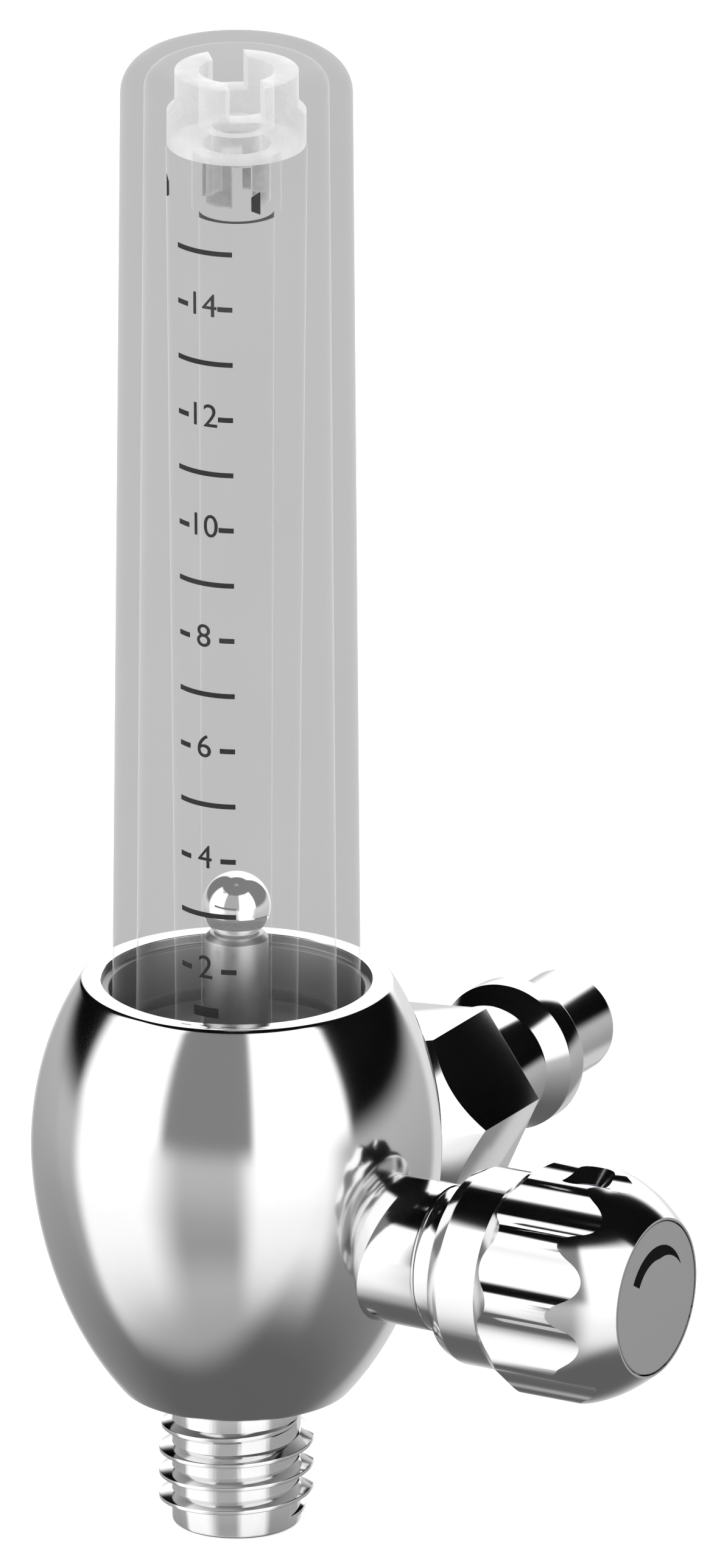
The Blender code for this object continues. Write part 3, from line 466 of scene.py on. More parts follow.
@dataclass(frozen=True)
class Finish:
    """What every finish has: a name, a colour, a gloss, and how much they wander."""

    name: str
    colour: Colour
    roughness: float
    metallic: float = 0.0
    colour_change: float = 0.04
    roughness_change: float = 0.03
    patch: float = 9.0
    specular: float = 0.5
    # Emission strength: a painted glow, for a part that is no lamp.
    veil: float = 0.0
    patch_detail: ClassVar[float] = 3.0
    patch_ramp: ClassVar[tuple[float, float]] = (0.3, 0.7)

    def material(self) -> bpy.types.Material:
        """Make the material, or take the one made before under this finish's own name."""
        found = bpy.data.materials.get(self.name)
        if found is not None:
            return found
        made = bpy.data.materials.new(self.name)
        made.use_nodes = True
        made.diffuse_color = (*self.colour, 1.0)
        nodes = NodeBench(made.node_tree)
        shader = made.node_tree.nodes["Principled BSDF"]
        shader.inputs["Metallic"].default_value = self.metallic
        shader.inputs["Specular IOR Level"].default_value = self.specular
        # Painted glow: the finish emits light at this strength.
        shader.inputs["Emission Strength"].default_value = self.veil
        self.dress(nodes, shader)
        return made

    def darker(self) -> Colour:
        """The dark end of the colour's wandering."""
        return tuple(level * (1.0 - self.colour_change) for level in self.colour)

    def link(self, nodes: NodeBench, shader: bpy.types.Node, **values: Term) -> None:
        """Link varying values to the shader's inputs, with spaces as underscores."""
        for name, value in values.items():
            socket = value.socket if isinstance(value, Signal) else value
            nodes.tree.links.new(socket, shader.inputs[name.replace("_", " ")])

    def patches(self, nodes: NodeBench) -> Signal:
        """Soft patches, as handling leaves them."""
        return nodes.noise(self.patch, self.patch_detail).ramp(*self.patch_ramp)

    def dress(self, nodes: NodeBench, shader: bpy.types.Node) -> None:
        """Lay faint patches of handling over the colour and the gloss."""
        patches = self.patches(nodes)
        self.link(nodes, shader, Base_Color=nodes.tint(self.darker(), self.colour, patches),
                  Roughness=self.roughness + patches * self.roughness_change)


@dataclass(frozen=True)
class Plated(Finish):
    """Bright plating or polished metal, with hairline wiping marks in its gloss."""

    hairline: float = 0.02
    hairline_width: float = 0.12
    hairline_stretch: tuple[float, float, float] = (1.0, 1.0, 0.06)
    hairline_ramp: ClassVar[tuple[float, float]] = (0.62, 0.78)
    patch_ramp: ClassVar[tuple[float, float]] = (0.35, 0.75)

    def wear(self, nodes: NodeBench) -> tuple[Signal, Signal]:
        """Handling patches, and the gloss with them and with the fine marks."""
        patches = self.patches(nodes)
        lines = nodes.noise(self.hairline_width, 1.0, self.hairline_stretch)
        lines = lines.ramp(*self.hairline_ramp)
        return patches, (self.roughness + patches * self.roughness_change
                         + lines * self.hairline)

    def dress(self, nodes: NodeBench, shader: bpy.types.Node) -> None:
        """Patches in the colour and the gloss, and fine marks in the gloss alone."""
        patches, gloss = self.wear(nodes)
        self.link(nodes, shader, Base_Color=nodes.tint(self.darker(), self.colour, patches),
                  Roughness=gloss)


@dataclass(frozen=True)
class Bored(Plated):
    """Plating outside, and the duller bored metal of a chamber about the tube's axis, its colour
    darkened there as painted shade.
    """

    bore_radius: float = 12.55
    bore_side: float = 0.1
    bore_floor: float = 9.0
    bore_rise: float = 1.0
    # Share of the colour taken away inside the chamber: painted shade.
    bore_shade: float = 0.5
    bore_roughness: float = 0.34

    def dress(self, nodes: NodeBench, shader: bpy.types.Node) -> None:
        """Plating, with painted shade in its colour and a duller gloss inside the chamber."""
        x, y, z = nodes.split(nodes.object_point())
        beside = y - CROSSING.y
        radius = (x * x + beside * beside) ** 0.5
        outside = radius.ramp((self.bore_radius - self.bore_side) * MM, self.bore_radius * MM)
        above = z.ramp((self.bore_floor - self.bore_rise) * MM, self.bore_floor * MM)
        inside = (1.0 - outside) * above
        patches, gloss = self.wear(nodes)
        # Painted shade: the colour is darkened inside the chamber, on top of the handling patches.
        painted_shade_and_patches = (1.0 - inside * self.bore_shade) * (1.0 - patches * self.colour_change)
        self.link(nodes, shader, Base_Color=nodes.tint((0.0, 0.0, 0.0), self.colour, painted_shade_and_patches),
                  Roughness=gloss + inside * self.bore_roughness)


@dataclass(frozen=True)
class Grained(Finish):
    """A surface with a fine grain in its colour, its gloss and its height."""

    grain: float = 0.3
    grain_depth: float = 0.02
    grain_strength: float = 0.4
    grain_detail: ClassVar[float] = 4.0
    grain_share: ClassVar[float] = 0.6
    patch_detail: ClassVar[float] = 2.0

    def dress(self, nodes: NodeBench, shader: bpy.types.Node) -> None:
        """Grain over patches."""
        grain = nodes.noise(self.grain, self.grain_detail).ramp(*self.patch_ramp)
        patches = nodes.noise(self.patch, self.patch_detail)
        share = grain * self.grain_share + patches * (1.0 - self.grain_share)
        self.link(nodes, shader, Base_Color=nodes.tint(self.darker(), self.colour, share),
                  Roughness=self.roughness + grain * self.roughness_change,
                  Normal=nodes.bump(grain, self.grain_strength, self.grain_depth))


@dataclass(frozen=True)
class Clear(Finish):
    """Clear plastic: nearly open face on, closing towards its edges, faintly hazed."""

    face: float = 0.03
    edge: float = 0.6
    edge_power: float = 3.0
    haze: float = 0.02
    patch_ramp: ClassVar[tuple[float, float]] = (0.4, 0.8)

    def dress(self, nodes: NodeBench, shader: bpy.types.Node) -> None:
        """Opacity by how edge-on the wall is seen, plus a little haze."""
        weight = nodes.add("ShaderNodeLayerWeight", {}, {"Blend": 0.5})
        facing = Signal(nodes, weight.outputs["Facing"])
        haze = self.patches(nodes)
        opacity = self.face + facing ** self.edge_power * (self.edge - self.face)
        self.link(nodes, shader, Base_Color=nodes.tint(self.darker(), self.colour, haze),
                  Roughness=self.roughness + haze * self.roughness_change,
                  Alpha=(opacity + haze * self.haze).under(1.0))


CHROME = Plated("polished_chrome", (0.86, 0.86, 0.86), 0.10, 1.0, 0.03, 0.02)
EGG_CHROME = Bored("egg_chrome", (0.86, 0.86, 0.86), 0.10, 1.0, 0.03, 0.02)
THREAD_CHROME = Plated("turned_chrome", (0.90, 0.90, 0.90), 0.08, 1.0, 0.06, 0.05, 4.0)
# The ball glows faintly: painted light that brightens the steel.
BALL_STEEL = Plated("ball_steel", (0.90, 0.90, 0.91), 0.03, 1.0, 0.03, 0.02, 3.0, veil=0.16)
SPINDLE_STEEL = Plated("spindle_steel", (0.72, 0.72, 0.73), 0.22, 1.0, 0.08, 0.08, 3.0)
SEAT_BRASS = Plated("seat_metal", (0.66, 0.66, 0.66), 0.38, 1.0, 0.08, 0.08, 3.0)
BLUED = Grained("blued_screw", (0.24, 0.25, 0.32), 0.45, 0.2, 0.15, 0.1, 2.0, 0.5, 0.0, 0.25,
                0.004)
# The three clear plastics glow faintly where they are opaque, most at their edges: painted light.
COVER_CLEAR = Clear("cover_plastic", (0.80, 0.80, 0.80), 0.06, veil=0.12, face=0.02, edge=0.7,
                    edge_power=8.0, haze=0.015)
TUBE_CLEAR = Clear("tube_plastic", (0.82, 0.82, 0.82), 0.06, veil=0.15, face=0.01, edge=0.75,
                   edge_power=10.0, haze=0.01)
CAP_CLEAR = Clear("cap_plastic", (0.88, 0.88, 0.88), 0.08, veil=0.12, face=0.24, edge=0.9,
                  edge_power=2.2, haze=0.10, patch=2.0)
INK = Grained("scale_ink", (0.010, 0.010, 0.011), 0.6, 0.0, 0.2, 0.1, 1.5, 0.02, 0.0, 0.08,
              0.002)
LABEL = Grained("label_face", (0.355, 0.355, 0.355), 0.6, 0.0, 0.05, 0.08, 3.0, 0.15, 0.0,
                0.15, 0.003)
RUBBER = Grained("seal_rubber", (0.035, 0.035, 0.036), 0.6, 0.0, 0.3, 0.15, 1.2, 0.5, 0.0,
                 0.12, 0.01)
BRONZE = Grained("sintered_bronze", (0.45, 0.31, 0.18), 0.6, 0.9, 0.45, 0.2, 1.5, 0.5, 0.0,
                 0.18, 0.08, 0.9)
NYLON = Grained("seat_nylon", (0.80, 0.80, 0.76), 0.4, 0.0, 0.06, 0.1, 2.0, 0.5, 0.0, 0.3,
                0.006)


def ship(item: bpy.types.Object, finish: Finish, body: Body, slot: str, *nodes: str) -> None:
    """Finish a piece: its shading, its material, its body and what it replaces."""
    smoothed(item)
    item.data.materials.clear()
    item.data.materials.append(finish.material())
    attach(item, body.value)
    if nodes:
        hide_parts(*nodes)


@dataclass
class EggBody:
    """The turned egg with its chamber, its two bosses and its gas passages."""

    radius: float = 19.0
    widest: float = 7.3
    top: float = 23.5
    foot: float = -16.3
    rim_radius: float = 14.35
    foot_radius: float = 10.5
    upper_power: float = 1.96
    lower_power: float = 1.85
    rings: int = 72
    rim_edge: float = 0.85
    socket_radius: float = 11.8
    relief_radius: float = 12.5
    relief_depth: float = 0.9
    ledge: float = 15.5
    chamber_radius: float = 10.2
    chamber_floor: float = 11.5
    tube_ring_radius: float = 7.1
    tube_ring_floor: float = 10.1
    tube_hole_radius: float = 5.85
    tube_socket: float = 9.6
    shank_hole_radius: float = 2.9
    well_floor: float = 5.7
    spigot_hole_radius: float = 5.3
    spigot_roof: float = -9.3
    valve_boss_radius: float = 6.9
    valve_boss_end: float = 22.5
    valve_boss_root: float = 8.0
    valve_edge: float = 0.3
    valve_mouth: float = 24.0
    valve_steps: tuple[tuple[float, float], ...] = ((4.5, 8.0), (3.4, 5.1), (2.0, -1.0))
    inlet_boss_radius: float = 7.2
    inlet_boss_end: float = 19.6
    inlet_boss_root: float = 9.5
    inlet_edge: float = 0.25
    inlet_mouth: float = 21.0
    inlet_steps: tuple[tuple[float, float], ...] = ((5.3, 9.0), (2.0, 0.0))
    riser_ends: tuple[Corner, Corner] = ((0.0, 0.0, 6.4), (10.0, 0.0, 4.5))
    riser_radius: float = 1.0
    drain_ends: tuple[Corner, Corner] = ((-8.65, 0.0, 12.5), (-1.2, 0.0, -10.3))
    drain_radius: float = 1.2

    def outer_radius(self, height: float) -> float:
        """The egg's radius at a height: two superellipse halves that meet at the widest."""
        if height > self.widest:
            power, radius, edge = self.upper_power, self.rim_radius, self.top
        else:
            power, radius, edge = self.lower_power, self.foot_radius, self.foot
        closed = (1.0 - (radius / self.radius) ** power) ** (1.0 / power)
        share = abs(height - self.widest) * closed / abs(edge - self.widest)
        return self.radius * (1.0 - share ** power) ** (1.0 / power)

    def outside(self) -> list[Corner]:
        """The egg's outer side from the rim to the foot."""
        heights = [self.top + (self.foot - self.top) * index / self.rings
                   for index in range(self.rings + 1)]
        corners = [(self.outer_radius(height), height, 0.0) for height in heights]
        corners[0] = (self.rim_radius, self.top, self.rim_edge)
        corners[-1] = (self.foot_radius, self.foot, self.rim_edge)
        return corners

    def inside(self) -> list[Corner]:
        """The chamber and the cover's socket, from the well's floor up to the rim."""
        return [
            (0.0, self.well_floor, 0.0), (self.shank_hole_radius, self.well_floor, 0.0),
            (self.shank_hole_radius, self.tube_socket, 0.0),
            (self.tube_hole_radius, self.tube_socket, 0.0),
            (self.tube_hole_radius, self.tube_ring_floor, 0.0),
            (self.tube_ring_radius, self.tube_ring_floor, 0.0),
            (self.tube_ring_radius, self.chamber_floor, 0.15),
            (self.chamber_radius, self.chamber_floor, 0.9),
            (self.chamber_radius, self.ledge, 0.2), (self.socket_radius, self.ledge, 0.0),
            (self.socket_radius, self.top - self.relief_depth, 0.2),
            (self.relief_radius, self.top - self.relief_depth, 0.15),
            (self.relief_radius, self.top, 0.15),
        ]

    @staticmethod
    def boss(name: str, line: Line, radius: float, root: float, end: float, edge: float
             ) -> bpy.types.Object:
        """A round boss from its root inside the egg to its end, whose edge is eased."""
        return turned(name, [(0.0, end, 0.0), (radius, end, edge), (radius, root, 0.0),
                             (0.0, root, 0.0)], line)

    def build(self) -> None:
        """Turn the egg, join the bosses, bore the valve and the inlet, and finish it."""
        corners = self.inside() + self.outside()
        corners += [(self.spigot_hole_radius, self.foot, 0.15),
                    (self.spigot_hole_radius, self.spigot_roof, 0.0),
                    (0.0, self.spigot_roof, 0.0)]
        egg = turned("egg_body", corners, Line.TUBE, 192)
        valve_boss = self.boss("valve_boss", Line.VALVE, self.valve_boss_radius,
                               self.valve_boss_root, self.valve_boss_end, self.valve_edge)
        inlet_boss = self.boss("inlet_boss", Line.INLET, self.inlet_boss_radius,
                               self.inlet_boss_root, self.inlet_boss_end, self.inlet_edge)
        worked(egg, Join.ADD, valve_boss, inlet_boss)
        riser = rod("riser", *(spot(*end) for end in self.riser_ends), self.riser_radius)
        drain = rod("drain", *(spot(*end) for end in self.drain_ends), self.drain_radius)
        worked(egg, Join.CUT,
               bored("valve_bore", Line.VALVE, self.valve_mouth, self.valve_steps),
               bored("inlet_bore", Line.INLET, self.inlet_mouth, self.inlet_steps),
               riser, drain)
        ship(egg, EGG_CHROME, Body.HOUSING, "chrome", "body")


@dataclass
class Cover:
    """The clear outer cover, closed and rounded at the top."""

    foot: float = 15.8
    top: float = 113.7
    foot_radius: float = 11.5
    top_radius: float = 10.75
    wall: float = 2.2
    top_wall: float = 0.8
    top_round: float = 3.3
    inner_round: float = 2.0
    groove_height: float = 18.2

    def build(self) -> None:
        """Turn the cover and finish it in clear plastic, which the chrome doesn't mirror."""
        lean = (self.foot_radius - self.top_radius) / (self.top - self.foot)
        inner_top = self.top - self.top_wall
        inner_radius = self.top_radius + lean * self.top_wall - self.wall
        cover = turned("clear_cover", [
            (0.0, self.top, 0.0), (self.top_radius, self.top, self.top_round),
            *groove(self.foot_radius, self.groove_height), (self.foot_radius, self.foot, 0.2),
            (self.foot_radius - self.wall, self.foot, 0.2),
            (inner_radius, inner_top, self.inner_round), (0.0, inner_top, 0.0)], Line.TUBE, 160)
        cover.visible_glossy = False
        ship(cover, COVER_CLEAR, Body.HOUSING, "clear", "cover")


@dataclass
class FlowTube:
    """The tapered tube with its printed scale."""

    foot: float = 9.9
    top: float = 105.2
    foot_radius: float = 5.55
    top_radius: float = 6.55
    bore_foot: float = 3.255
    bore_top: float = 3.505
    ball_height: float = 30.68
    mouth: float = 99.0
    mouth_radius: float = 4.15
    ink_lift: float = 0.01
    ink_film: float = 0.05
    film_foot: float = 14.0
    film_top: float = 104.0
    front: float = -5.5
    through: float = 5.0
    tick_middle_at_one: float = 20.66
    tick_pitch: float = 5.438
    tick_height: float = 0.48
    tick_centre: float = -0.06
    long_half: float = 2.88
    short_inner: float = 1.56
    number_height: float = 2.22
    number_rise: float = 0.30
    number_widths: tuple[float, float] = (1.42, 2.4)
    number_shifts: tuple[float, float] = (0.0, 0.28)
    low_bar_half: float = 1.3
    low_bar_heights: tuple[float, float] = (21.5, 22.45)
    stop_front: float = -7.5
    stop_corners: tuple[tuple[float, float], ...] = (
        (4.4, 101.05), (5.0, 100.65), (5.0, 102.9), (4.4, 102.4))

    def outer_radius(self, height: float) -> float:
        """The tube's outer radius at a height."""
        share = (height - self.foot) / (self.top - self.foot)
        return self.foot_radius + share * (self.top_radius - self.foot_radius)

    def tick_height_at(self, value: float) -> float:
        """The height of a value's tick on the scale."""
        return self.tick_middle_at_one + (value - 1.0) * self.tick_pitch

    def bar(self, left: float, right: float, low: float, high: float) -> bpy.types.Object:
        """A bar that stands through the tube's front wall, as seen from the front."""
        centre = spot((left + right) / 2, self.front, (low + high) / 2)
        return block("bar", centre, (right - left, self.through, high - low))

    def number(self, value: int) -> bpy.types.Object:
        """A number as a solid that stands through the tube's front wall."""
        text = fresh("number", bpy.ops.object.text_add, location=(0.0, 0.0, 0.0))
        text.data.body = str(value)
        text.data.extrude = self.through / 2 * MM
        text.data.resolution_u = 5
        only(text)
        bpy.ops.object.convert(target="MESH")
        digits = bpy.context.object
        low, high = (Vector([end(vertex.co[axis] for vertex in digits.data.vertices)
                             for axis in range(3)]) for end in (min, max))
        places = len(str(value)) - 1
        width = self.number_widths[places] * MM / (high.x - low.x)
        height = self.number_height * MM / (high.y - low.y)
        digits.data.transform(Matrix.Translation(-(low + high) / 2))
        digits.scale = (width, height, 1.0)
        digits.rotation_euler = (math.pi / 2, 0.0, 0.0)
        digits.location = spot(self.tick_centre + self.number_shifts[places], self.front,
                               self.tick_height_at(value) + self.number_rise)
        return welded(settled(digits))

    def stop_mark(self, side: float) -> bpy.types.Object:
        """A small mark at the scale's top, taller towards the tube's side."""
        outline = [spot(self.tick_centre + side * across, self.stop_front, height)
                   for across, height in self.stop_corners]
        return slab("stop_mark", outline, Vector((0.0, self.through * MM, 0.0)))

    def scale_marks(self) -> list[bpy.types.Object]:
        """Every mark of the scale as a solid through the tube's front wall."""
        marks = [self.bar(self.tick_centre - self.low_bar_half,
                          self.tick_centre + self.low_bar_half, *self.low_bar_heights),
                 self.stop_mark(1.0), self.stop_mark(-1.0)]
        left, right = self.tick_centre - self.long_half, self.tick_centre + self.long_half
        for value in range(2, 16):
            middle = self.tick_height_at(value)
            low, high = middle - self.tick_height / 2, middle + self.tick_height / 2
            if value % 2:
                marks.append(self.bar(left, right, low, high))
            else:
                marks.append(self.bar(left, self.tick_centre - self.short_inner, low, high))
                marks.append(self.bar(self.tick_centre + self.short_inner, right, low, high))
                marks.append(self.number(value))
        return marks

    def build(self) -> None:
        """Turn the tube, lay the scale on it as a film of ink, and finish both."""
        tube = turned("flow_glass", [
            (self.top_radius, self.top, 0.2), (self.foot_radius, self.foot, 0.2),
            (self.bore_foot, self.foot, 0.2), (self.bore_foot, self.ball_height, 0.0),
            (self.bore_top, self.mouth, 0.0), (self.mouth_radius, self.mouth, 0.0),
            (self.mouth_radius, self.top, 0.2)], Line.TUBE)
        tube.visible_glossy = False
        ship(tube, TUBE_CLEAR, Body.HOUSING, "clear", "flow_tube")
        low, high = self.film_foot, self.film_top
        film = []
        for lift, ends in ((self.ink_film, (high, low)), (self.ink_lift, (low, high))):
            film += [(self.outer_radius(height) + lift, height, 0.0) for height in ends]
        ink = turned("printed_scale", film, Line.TUBE, 240)
        worked(ink, Join.KEEP_COMMON, joined(self.scale_marks(), "scale_marks"))
        ship(ink, INK, Body.HOUSING, "label")


@dataclass
class SeatAndBall:
    """The hollow pillar that the ball rests on, and the ball."""

    seat_top: float = 28.1
    seat_radius: float = 2.955
    cup_radius: float = 2.1
    cup_floor: float = 26.5
    bore_radius: float = 1.3
    shank_radius: float = 2.6
    shank_top: float = 9.9
    shank_foot: float = 7.1
    chamfer: float = 0.5
    ball_radius: float = 3.175
    ball_height: float = 30.678
    ball_cuts: int = 23

    def build(self) -> None:
        """Turn the seat, round a subdivided cube into the ball, and finish both."""
        seat = turned("seat_pillar", [
            (self.cup_radius, self.seat_top, 0.0),
            (self.seat_radius - self.chamfer, self.seat_top, 0.12),
            (self.seat_radius, self.seat_top - self.chamfer, 0.12),
            (self.seat_radius, self.shank_top, 0.1), (self.shank_radius, self.shank_top, 0.0),
            (self.shank_radius, self.shank_foot, 0.1), (self.bore_radius, self.shank_foot, 0.0),
            (self.bore_radius, self.cup_floor, 0.0)], Line.TUBE, 96)
        ship(seat, SEAT_BRASS, Body.HOUSING, "brass", "ball_seat")
        centre = spot(0.0, 0.0, self.ball_height)
        ball = fresh("polished_ball", bpy.ops.mesh.primitive_cube_add,
                     size=self.ball_radius * MM, location=centre)
        with editing(ball):
            bpy.ops.mesh.subdivide(number_cuts=self.ball_cuts)
            bpy.ops.transform.tosphere(value=1.0)
        settled(ball)
        reach = max((vertex.co - centre).length for vertex in ball.data.vertices)
        grow = self.ball_radius * MM / reach
        with editing(ball):
            bpy.ops.transform.resize(value=(grow, grow, grow), center_override=centre)
        ship(welded(ball), BALL_STEEL, Body.FLOAT, "steel", "float_ball")


@dataclass
class SlottedCap:
    """The tube's cap: a slotted crown, a flange, and a cage that stops the ball."""

    foot: float = 105.5
    top: float = 112.6
    crown_radius: float = 5.75
    flange_radius: float = 6.46
    flange_height: float = 3.2
    hole_radius: float = 3.5
    hole_depth: float = 5.4
    slot_width: float = 3.3
    slot_length: float = 30.0
    slot_depth: float = 3.2
    slot_turn: float = math.radians(40.0)
    cage_radius: float = 3.2
    cage_bore: float = 2.3
    cage_depth: float = 5.4
    cage_rim: float = 1.4
    gap_width: float = 1.9
    gap_length: float = 12.0
    edge: float = 0.12

    def build(self) -> None:
        """Turn the cap, cut its slot and its cage's gaps, ease its edges, and finish it."""
        shoulder = self.foot + self.flange_height
        chamfer = self.flange_radius - self.crown_radius
        cage_foot = self.foot - self.cage_depth
        hole_floor = self.top - self.hole_depth
        cap = turned("slotted_cap", [
            (self.crown_radius, self.top, 0.0), (self.crown_radius, shoulder + chamfer, 0.0),
            (self.flange_radius, shoulder, 0.0), (self.flange_radius, self.foot, 0.0),
            (self.cage_radius, self.foot, 0.0), (self.cage_radius, cage_foot, 0.0),
            (self.cage_bore, cage_foot, 0.0), (self.cage_bore, hole_floor, 0.0),
            (self.hole_radius, hole_floor, 0.0), (self.hole_radius, self.top, 0.0)],
            Line.TUBE, 96)
        tools = [block("cap_slot", spot(0.0, 0.0, self.top),
                       (self.slot_width, self.slot_length, 2 * self.slot_depth),
                       self.slot_turn)]
        gap = (self.gap_width, self.gap_length, 2 * (self.cage_depth - self.cage_rim))
        for quarter in range(2):
            tools.append(block("cage_gap", spot(0.0, 0.0, cage_foot), gap,
                               self.slot_turn + quarter * math.pi / 2))
        worked(cap, Join.CUT, *tools)
        applied(cap, "BEVEL", width=self.edge * MM, segments=2, limit_method="ANGLE",
                angle_limit=math.radians(35.0))
        ship(cap, CAP_CLEAR, Body.HOUSING, "clear", "tube_cap")


@dataclass
class OutletNipple:
    """The outlet with its coarse right-handed thread."""

    foot: float = -29.45
    shoulder: float = -16.6
    spigot_top: float = -9.6
    root_radius: float = 5.95
    spigot_radius: float = 5.0
    bore_radius: float = 3.0
    groove_height: float = -12.95
    thread_height: float = 1.2
    thread_crest: float = 0.35
    thread_flank: float = 0.64
    thread_sink: float = 0.4
    thread_edge: float = 0.07
    thread_start: float = -29.4
    thread_end: float = -17.9
    pitch: float = 2.28
    start_angle: float = math.radians(-40.0)
    lead_in: float = math.radians(140.0)
    runout: float = math.radians(265.0)
    steps_a_turn: int = 96
    still_height: float = 0.5
    least_height: float = 0.01

    @property
    def thread_width(self) -> float:
        """The thread's width at its foot, in millimetres."""
        return self.thread_crest + 2 * self.thread_flank

    def thread(self) -> bpy.types.Object:
        """The helical ridge, which rises out of the root at both of its ends."""
        width = self.thread_width
        foot = self.root_radius - self.thread_sink
        crest = self.root_radius + self.thread_height
        section = eased([
            (foot, width, 0.0), (crest, width - self.thread_flank, self.thread_edge),
            (crest, self.thread_flank, self.thread_edge), (foot, 0.0, 0.0)])
        path = [Vector((radius, 0.0, height)) * MM for radius, height in section]
        ridge = traced("thread", [*path, path[0]])
        with editing(ridge):
            bpy.ops.mesh.remove_doubles(threshold=WELD)
        settled(ridge)
        climb = self.thread_end - width - self.thread_start
        sweep = math.tau * climb / self.pitch
        steps = round(sweep / math.tau * self.steps_a_turn)
        applied(ridge, "SCREW", angle=sweep, screw_offset=climb * MM, steps=steps,
                render_steps=steps, use_normal_calculate=True)
        self.fade_ends(ridge, foot, sweep)
        with editing(ridge):
            bpy.ops.mesh.fill_holes(sides=len(path))
        ridge.rotation_euler = (0.0, 0.0, self.start_angle)
        ridge.location = spot(0.0, 0.0, self.thread_start)
        return welded(settled(ridge))

    def fade_ends(self, ridge: bpy.types.Object, foot: float, sweep: float) -> None:
        """Draw the crest in towards the root at both of the thread's ends.

        Args:
            ridge: The full-height ridge, still at the origin.
            foot: Radius of its foot, in millimetres.
            sweep: Angle of the whole thread.
        """
        for vertex in ridge.data.vertices:
            radius = math.hypot(vertex.co.x, vertex.co.y) / MM
            if radius < foot + self.still_height:
                continue
            around = math.atan2(vertex.co.y, vertex.co.x) % math.tau
            middle = vertex.co.z / MM - self.thread_width / 2
            turns = round(middle / self.pitch - around / math.tau)
            angle = around + turns * math.tau
            grown = min(1.0, angle / self.lead_in, (sweep - angle) / self.runout)
            if grown < 1.0:
                wanted = foot + (radius - foot) * max(grown, self.least_height)
                vertex.co.x *= wanted / radius
                vertex.co.y *= wanted / radius

    def build(self) -> None:
        """Turn the nipple, join its thread, and finish it."""
        nipple = turned("threaded_nipple", [
            (self.bore_radius, self.spigot_top, 0.1), (self.spigot_radius, self.spigot_top, 0.2),
            *groove(self.spigot_radius, self.groove_height),
            (self.spigot_radius, self.shoulder, 0.0), (self.root_radius, self.shoulder, 0.1),
            (self.root_radius, self.foot, 0.35), (self.bore_radius, self.foot, 0.25)],
            Line.TUBE, 96)
        worked(nipple, Join.ADD, self.thread())
        ship(nipple, THREAD_CHROME, Body.HOUSING, "chrome", "outlet_nipple")


@dataclass
class Bonnet:
    """The bonnet that closes the valve and guides the spindle."""

    start: float = 22.52
    flange_end: float = 24.8
    end: float = 31.0
    flange_radius: float = 6.9
    neck_radius: float = 5.2
    spigot_radius: float = 4.2
    spigot_start: float = 13.2
    groove_station: float = 20.0
    thread_hole: float = 3.1
    thread_hole_end: float = 20.4
    stem_hole: float = 2.3
    edge: float = 0.3

    def build(self) -> None:
        """Turn the bonnet and finish it."""
        bonnet = turned("bonnet", [
            (self.stem_hole, self.end, 0.1), (self.neck_radius, self.end, 0.2),
            (self.neck_radius, self.flange_end, 0.15),
            (self.flange_radius, self.flange_end, self.edge),
            (self.flange_radius, self.start, self.edge),
            (self.spigot_radius, self.start, 0.0),
            *groove(self.spigot_radius, self.groove_station),
            (self.spigot_radius, self.spigot_start, 0.15),
            (self.thread_hole, self.spigot_start, 0.1),
            (self.thread_hole, self.thread_hole_end, 0.0),
            (self.stem_hole, self.thread_hole_end, 0.0)], Line.VALVE)
        ship(bonnet, CHROME, Body.HOUSING, "chrome", "valve_bonnet")


